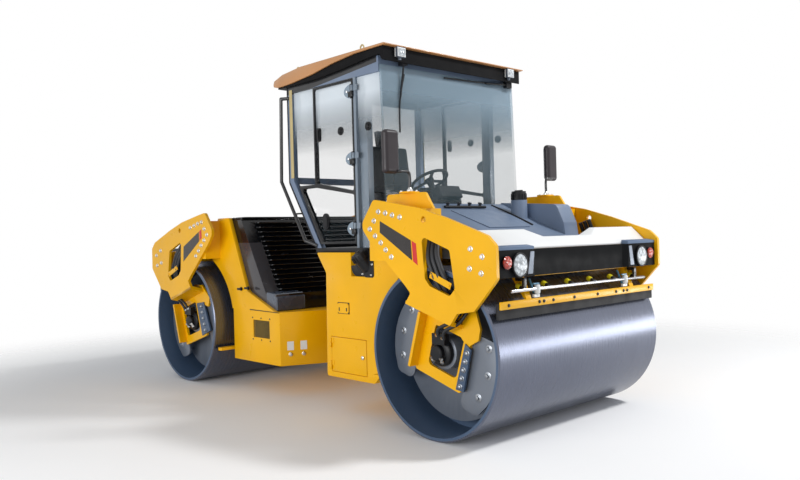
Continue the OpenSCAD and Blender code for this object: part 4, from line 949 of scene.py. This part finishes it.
# Rear body: wire mesh, screws, latches, seams, plugs and blank plates
GRILLE_LOW = Vector((-0.780, 0, 0.550))
GRILLE_HIGH = Vector((-0.490, 0, 0.725))
GRILLE_SIZE = GRILLE_HIGH - GRILLE_LOW
GRILLE_Y = BODY_HALF - 0.025
MESH_STEP = 0.012
WIRE_R = 0.0024
plate("grille_back", "rear_frame", rubber, right_side,
      upright(GRILLE_LOW.x, GRILLE_LOW.z, GRILLE_HIGH.x, GRILLE_HIGH.z), GRILLE_Y, 0.002, 0.0005)
mesh = Piece(*right_side)
for k in range(int(GRILLE_SIZE.x / MESH_STEP) + 1):
    x = GRILLE_LOW.x + k * MESH_STEP
    mesh.tube([(x, GRILLE_Y + 0.014, z) for z in (GRILLE_LOW.z, GRILLE_HIGH.z)], WIRE_R, 5, 1)
for k in range(int(GRILLE_SIZE.z / MESH_STEP) + 1):
    z = GRILLE_LOW.z + k * MESH_STEP
    mesh.tube([(x, GRILLE_Y + 0.011, z) for x in (GRILLE_LOW.x, GRILLE_HIGH.x)], WIRE_R, 5, 1)
mesh.make("grille_mesh", "rear_frame", bronze)
screws = Piece(*right_side)
for along_x in (-0.03, 0.5, 1.03):
    for along_z in (-0.12, 1.12):
        at = (GRILLE_LOW.x + along_x * GRILLE_SIZE.x, BODY_HALF, GRILLE_LOW.z + along_z * GRILLE_SIZE.z)
        screws.bolt(at, OUT, 0.006)
screws.make("grille_screws", "rear_frame", dark_steel)

COVER_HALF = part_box("engine_cover")[1][1]
COVER_NOSE = [(-0.600, 0.823), (-0.413, 0.823), (-0.413, 0.960), (-0.450, 0.992), (-0.600, 1.006)]
PANEL_SEAM = [(-0.836, 0.819), (-0.316, 0.813), (-0.316, 0.819), (-0.836, 0.829)]
LATCHES = ((-0.986, 1.028), (-0.850, 1.040))
LATCH = [(0.020, -0.001), (0.020, 0.008), (0.012, 0.012), (0.012, 0.024)]
CHAMFER_FROM = Vector((-0.313, BODY_HALF, 0))
CHAMFER_TO = Vector((-0.127, BODY_HALF - 0.410, 0))
CHAMFER_ALONG = (CHAMFER_TO - CHAMFER_FROM).normalized()
CHAMFER_OUT = Vector((-CHAMFER_ALONG.y, CHAMFER_ALONG.x, 0))
BLANK_HALF = 0.032
BLANK_HIGH = 0.085
for side, tag in SIDE_NAME.items():
    place = (FRONT, side)
    latches = Piece(*place)
    for x, z in LATCHES:
        latches.lathe(LATCH, (x, BODY_HALF, z), OUT, 16)
        latches.block((-0.036, 0.018, -0.011), (0.036, 0.032, 0.011), (x, BODY_HALF, z))
    latches.make(f"panel_latches_{tag}", "rear_frame", black_plastic, 0.003)
    plate(f"cover_nose_{tag}", "rear_frame", nose_slate, place, COVER_NOSE, COVER_HALF - 0.345, 0.3455, 0.014)
    plate(f"panel_seam_{tag}", "rear_frame", rubber, place, PANEL_SEAM, BODY_HALF - 0.001, 0.0018, 0.0004)
    plugs, blanks = Piece(*place), Piece(*place)
    blank = upright(-BLANK_HALF, 0, BLANK_HALF, BLANK_HIGH)
    for distance in (0.10, 0.23):
        at = CHAMFER_FROM + CHAMFER_ALONG * distance
        plugs.bolt(at + Vector((0, 0, 0.410)), CHAMFER_OUT, 0.016)
        blanks.faces([at + CHAMFER_ALONG * a + Vector((0, 0, 0.450 + height)) + CHAMFER_OUT * lift
                      for lift in (-0.0005, 0.0015) for a, height in blank], PRISM_FACES)
    plugs.make(f"drain_plugs_{tag}", "rear_frame", zinc)
    blanks.make(f"blank_plates_{tag}", "rear_frame", white_plastic)

# Hood lid: pressed panels, handle and screws
HOOD_LOW, HOOD_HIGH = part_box("hood_lid")
HOOD_BACK = HOOD_LOW[0]
HOOD_FRONT, HOOD_HALF, HOOD_TOP = HOOD_HIGH
HOOD_MIDDLE = 0.07
HOOD_RIM = 0.09
HANDLE_X = HOOD_FRONT - 0.045
HANDLE_BENDS = ((-0.13, -0.004), (-0.13, 0.028), (-0.11, 0.038), (0.11, 0.038), (0.13, 0.028), (0.13, -0.004))
for side, tag in SIDE_NAME.items():
    panel = Piece(FRONT, side)
    panel.block((HOOD_BACK + HOOD_RIM, HOOD_MIDDLE, HOOD_TOP - 0.003),
                (HOOD_FRONT - HOOD_RIM, HOOD_HALF - HOOD_RIM, HOOD_TOP + 0.007))
    panel.make(f"hood_panel_{tag}", "hood_lid", black_plastic, 0.006)
    screws = Piece(FRONT, side)
    for y in (HOOD_MIDDLE, HOOD_HALF / 2, HOOD_HALF - HOOD_RIM):
        screws.bolt((HOOD_BACK + 0.05, y, HOOD_TOP), UP, 0.009)
    screws.make(f"hood_screws_{tag}", "hood_lid", zinc)
handle = Piece()
handle.tube([(HANDLE_X, y, HOOD_TOP + rise) for y, rise in HANDLE_BENDS], 0.009)
handle.make("hood_handle", "hood_lid", black_tube)

# Driver's place: padded seat, armrests, levers and dash
SEAT_LOW, SEAT_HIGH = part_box("seat")
SEAT_X = (SEAT_LOW[0] + SEAT_HIGH[0]) / 2
SEAT_Z = SEAT_LOW[2]
CUSHION_Z = SEAT_Z + 0.420
BACK_LEAN = math.radians(-98)
CUSHION_STEPS = 14
ARM_REST_Y = 0.325
LEVER = [(0.022, 0), (0.014, 0.02), (0.009, 0.03), (0.009, 0.10), (0.022, 0.13), (0.024, 0.16),
         (0.010, 0.175)]
DASH_TURN = Matrix.Rotation(math.radians(-25), 3, "Y")
DIAL = [(0.032, 0), (0.032, 0.006), (0.027, 0.007), (0.026, 0.003)]


def cushion(name, low, high, lean=0.0, wings=0.0, seams=()):
    """Stuffed cushion with rounded sides, raised wings and sewn channels across it."""
    piece = Piece()
    steps = CUSHION_STEPS
    half = (high[2] - low[2]) / 2
    grid = []
    for face in (0, 1):
        for j in range(steps + 1):
            for i in range(steps + 1):
                u, v = 2 * i / steps - 1, 2 * j / steps - 1
                swell = (1 - abs(u) ** 5) * (1 - abs(v) ** 5)
                depth = 0.5 + 0.5 * swell ** 0.5 + wings * max(0.0, abs(u) - 0.62) * 2.2 * swell ** 0.3
                depth -= sum(0.16 * math.exp(-((v - seam) / 0.05) ** 2) for seam in seams)
                x = low[0] + (v + 1) / 2 * (high[0] - low[0])
                y = low[1] + (u + 1) / 2 * (high[1] - low[1])
                rise = depth if face else -(0.55 + 0.45 * swell)
                grid.append(Vector((x, y, low[2] + half + half * rise)))
    if lean:
        about = Vector((low[0], 0, low[2]))
        grid = [about + Matrix.Rotation(lean, 3, "Y") @ (point - about) for point in grid]
    stride = steps + 1
    layer = stride * stride
    faces = []
    for face in (0, 1):
        for j in range(steps):
            for i in range(steps):
                a = face * layer + j * stride + i
                faces.append((a, a + 1, a + 1 + stride, a + stride))
    rim = list(range(steps)) + [steps + j * stride for j in range(steps)]
    rim += [steps * stride + steps - i for i in range(steps)] + [(steps - j) * stride for j in range(steps)]
    for a, b in zip(rim, rim[1:] + rim[:1]):
        faces.append((a, b, b + layer, a + layer))
    piece.faces(grid, faces)
    made = piece.make(name, "front_frame", vinyl)
    smooth = made.modifiers.new("stuffed", "SUBSURF")
    smooth.levels = smooth.render_levels = 1


base = Piece()
base.slab([(SEAT_X - 0.15, SEAT_Z), (SEAT_X + 0.19, SEAT_Z), (SEAT_X + 0.15, SEAT_Z + 0.30),
           (SEAT_X - 0.11, SEAT_Z + 0.30)], -0.18, 0.36)
for k in range(6):
    fold = SEAT_Z + 0.06 + 0.035 * k
    base.block((-0.17, -0.19, 0), (0.18, 0.19, 0.015), (SEAT_X, 0, fold))
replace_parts(base.make("seat_base", "front_frame", rubber, 0.004), "seat")
cushion("seat_cushion", (SEAT_X - 0.19, -0.245, SEAT_Z + 0.295), (SEAT_X + 0.27, 0.245, CUSHION_Z),
        wings=0.35, seams=(-0.35, 0.05, 0.45))
cushion("seat_back", (SEAT_X - 0.10, -0.235, CUSHION_Z - 0.05), (SEAT_X + 0.50, 0.235, CUSHION_Z + 0.06),
        BACK_LEAN, wings=0.45, seams=(-0.45, -0.1, 0.25))
cushion("head_rest", (SEAT_X - 0.19, -0.135, CUSHION_Z + 0.55), (SEAT_X - 0.04, 0.135, CUSHION_Z + 0.63),
        BACK_LEAN)
controls = Piece()
for y in (-ARM_REST_Y, ARM_REST_Y):
    controls.block((-0.08, -0.05, 0.50), (0.26, 0.05, 0.56), (SEAT_X, y, SEAT_Z))
    controls.block((-0.02, -0.02, 0.20), (0.04, 0.02, 0.51), (SEAT_X, y, SEAT_Z))
    controls.lathe(LEVER, (SEAT_X + 0.20, y, SEAT_Z + 0.56), (0.15, 0, 1), 16)
controls.make("seat_controls", "front_frame", black_plastic, 0.01)
dash = Piece()
dash.block((-0.03, -0.14, -0.05), (0.06, 0.14, 0.07), (1.1, 0, SILL_Z + 0.45), DASH_TURN)
dash.make("dash", "front_frame", black_plastic, 0.012)
dials = Piece()
for y in (-0.08, 0.0, 0.08):
    dials.lathe(DIAL, (1.075, y, SILL_Z + 0.475), (-0.9, 0, 0.42), 24)
dials.make("dash_dials", "front_frame", white_plastic)


# Floor, light and camera

WORLD_LIGHT = 0.42
FLOOR_R = 24.0
FADE_FROM = 3.4
FADE_TO = 7.5
EYE = (5.92, -5.13, 1.55)
YAW = math.radians(136.8)
PITCH = math.radians(-0.46)
ROLL = math.radians(-1.55)
FOCAL_PX = 770.9
IMAGE_W = 800
SENSOR = 36.0


def light_world():
    """Pale surround: white to the camera, metal and glass, and a plain level for the light."""
    world = bpy.data.worlds.new("studio")
    bpy.context.scene.world = world
    world.use_nodes = True
    nodes, link = world.node_tree.nodes, world.node_tree.links.new
    nodes.clear()

    def either(first, second):
        node = nodes.new("ShaderNodeMath")
        node.operation = "MAXIMUM"
        link(first, node.inputs[0])
        link(second, node.inputs[1])
        return node.outputs["Value"]

    def surround(colour, strength):
        node = nodes.new("ShaderNodeBackground")
        node.inputs["Color"].default_value = colour
        node.inputs["Strength"].default_value = strength
        return node.outputs["Background"]

    path = nodes.new("ShaderNodeLightPath").outputs
    mix = nodes.new("ShaderNodeMixShader")
    clear = either(path["Is Glossy Ray"], path["Is Transmission Ray"])
    link(either(path["Is Camera Ray"], clear), mix.inputs["Fac"])
    link(surround((0.93, 0.96, 1.0, 1), WORLD_LIGHT), mix.inputs[1])
    link(surround((1, 1, 1, 1), 1.0), mix.inputs[2])
    link(mix.outputs["Shader"], nodes.new("ShaderNodeOutputWorld").inputs["Surface"])


def lay_floor():
    """Pale floor that fades into the surround and keeps the shadow."""
    data = bpy.data.meshes.new("floor")
    sheet = bmesh.new()
    bmesh.ops.create_circle(sheet, cap_ends=True, segments=96, radius=FLOOR_R)
    sheet.to_mesh(data)
    sheet.free()
    floor = bpy.data.objects.new("floor", data)
    bpy.context.collection.objects.link(floor)
    nodes = Nodes("pale_floor")
    nodes.set(Roughness=0.9, Specular_IOR_Level=0.1)
    cloud = nodes.noise(1.2, 4.0)
    nodes.feed(Base_Color=nodes.mixed(cloud, (0.95, 0.95, 0.952, 1), (0.975, 0.975, 0.975, 1)))
    x, y, _ = nodes.axes()
    fade = nodes.ranged(nodes.distance(x, y), 0.0, 1.0, FADE_FROM, FADE_TO, interpolation_type="SMOOTHSTEP")
    mix = nodes.add("ShaderNodeMixShader")
    nodes.link(fade, mix.inputs["Fac"])
    nodes.link(nodes.shader.outputs["BSDF"], mix.inputs[1])
    nodes.link(nodes.add("ShaderNodeBsdfTransparent").outputs["BSDF"], mix.inputs[2])
    nodes.link(mix.outputs["Shader"], nodes.out.inputs["Surface"])
    data.materials.append(nodes.material)


def soft_box(name, place, aim, size, power):
    """Area lamp that the camera doesn't see."""
    data = bpy.data.lights.new(name, "AREA")
    data.shape = "RECTANGLE"
    data.size, data.size_y = size
    data.energy = power
    lamp = bpy.data.objects.new(name, data)
    lamp.location = place
    lamp.visible_camera = False
    lamp.rotation_euler = (Vector(aim) - Vector(place)).to_track_quat("-Z", "Y").to_euler()
    bpy.context.collection.objects.link(lamp)


def place_camera():
    """Camera at the photograph's viewing angle."""
    ahead = Vector((math.cos(PITCH) * math.cos(YAW), math.cos(PITCH) * math.sin(YAW), math.sin(PITCH)))
    right = ahead.cross(Vector(UP)).normalized()
    up = right.cross(ahead)
    rolled_right = math.cos(ROLL) * right + math.sin(ROLL) * up
    rolled_up = -math.sin(ROLL) * right + math.cos(ROLL) * up
    data = bpy.data.cameras.new("camera")
    data.sensor_fit = "HORIZONTAL"
    data.sensor_width = SENSOR
    data.lens = FOCAL_PX / IMAGE_W * SENSOR
    camera = bpy.data.objects.new("camera", data)
    turn = Matrix((rolled_right, rolled_up, -ahead)).transposed().to_4x4()
    camera.matrix_world = Matrix.Translation(EYE) @ turn
    bpy.context.collection.objects.link(camera)
    bpy.context.scene.camera = camera


light_world()
lay_floor()
soft_box("key", (6.5, 3.5, 8.0), (0.3, 0, 1.0), (1.2, 1.2), 560.0)
soft_box("side", (1.5, -9.0, 2.2), (0, 0, 1.3), (7.0, 3.0), 380.0)
soft_box("strip", (6.2, 5.2, 0.65), (1.9, 0, 0.6), (4.5, 1.0), 110.0)
place_camera()
bpy.context.scene.view_settings.view_transform = "Standard"
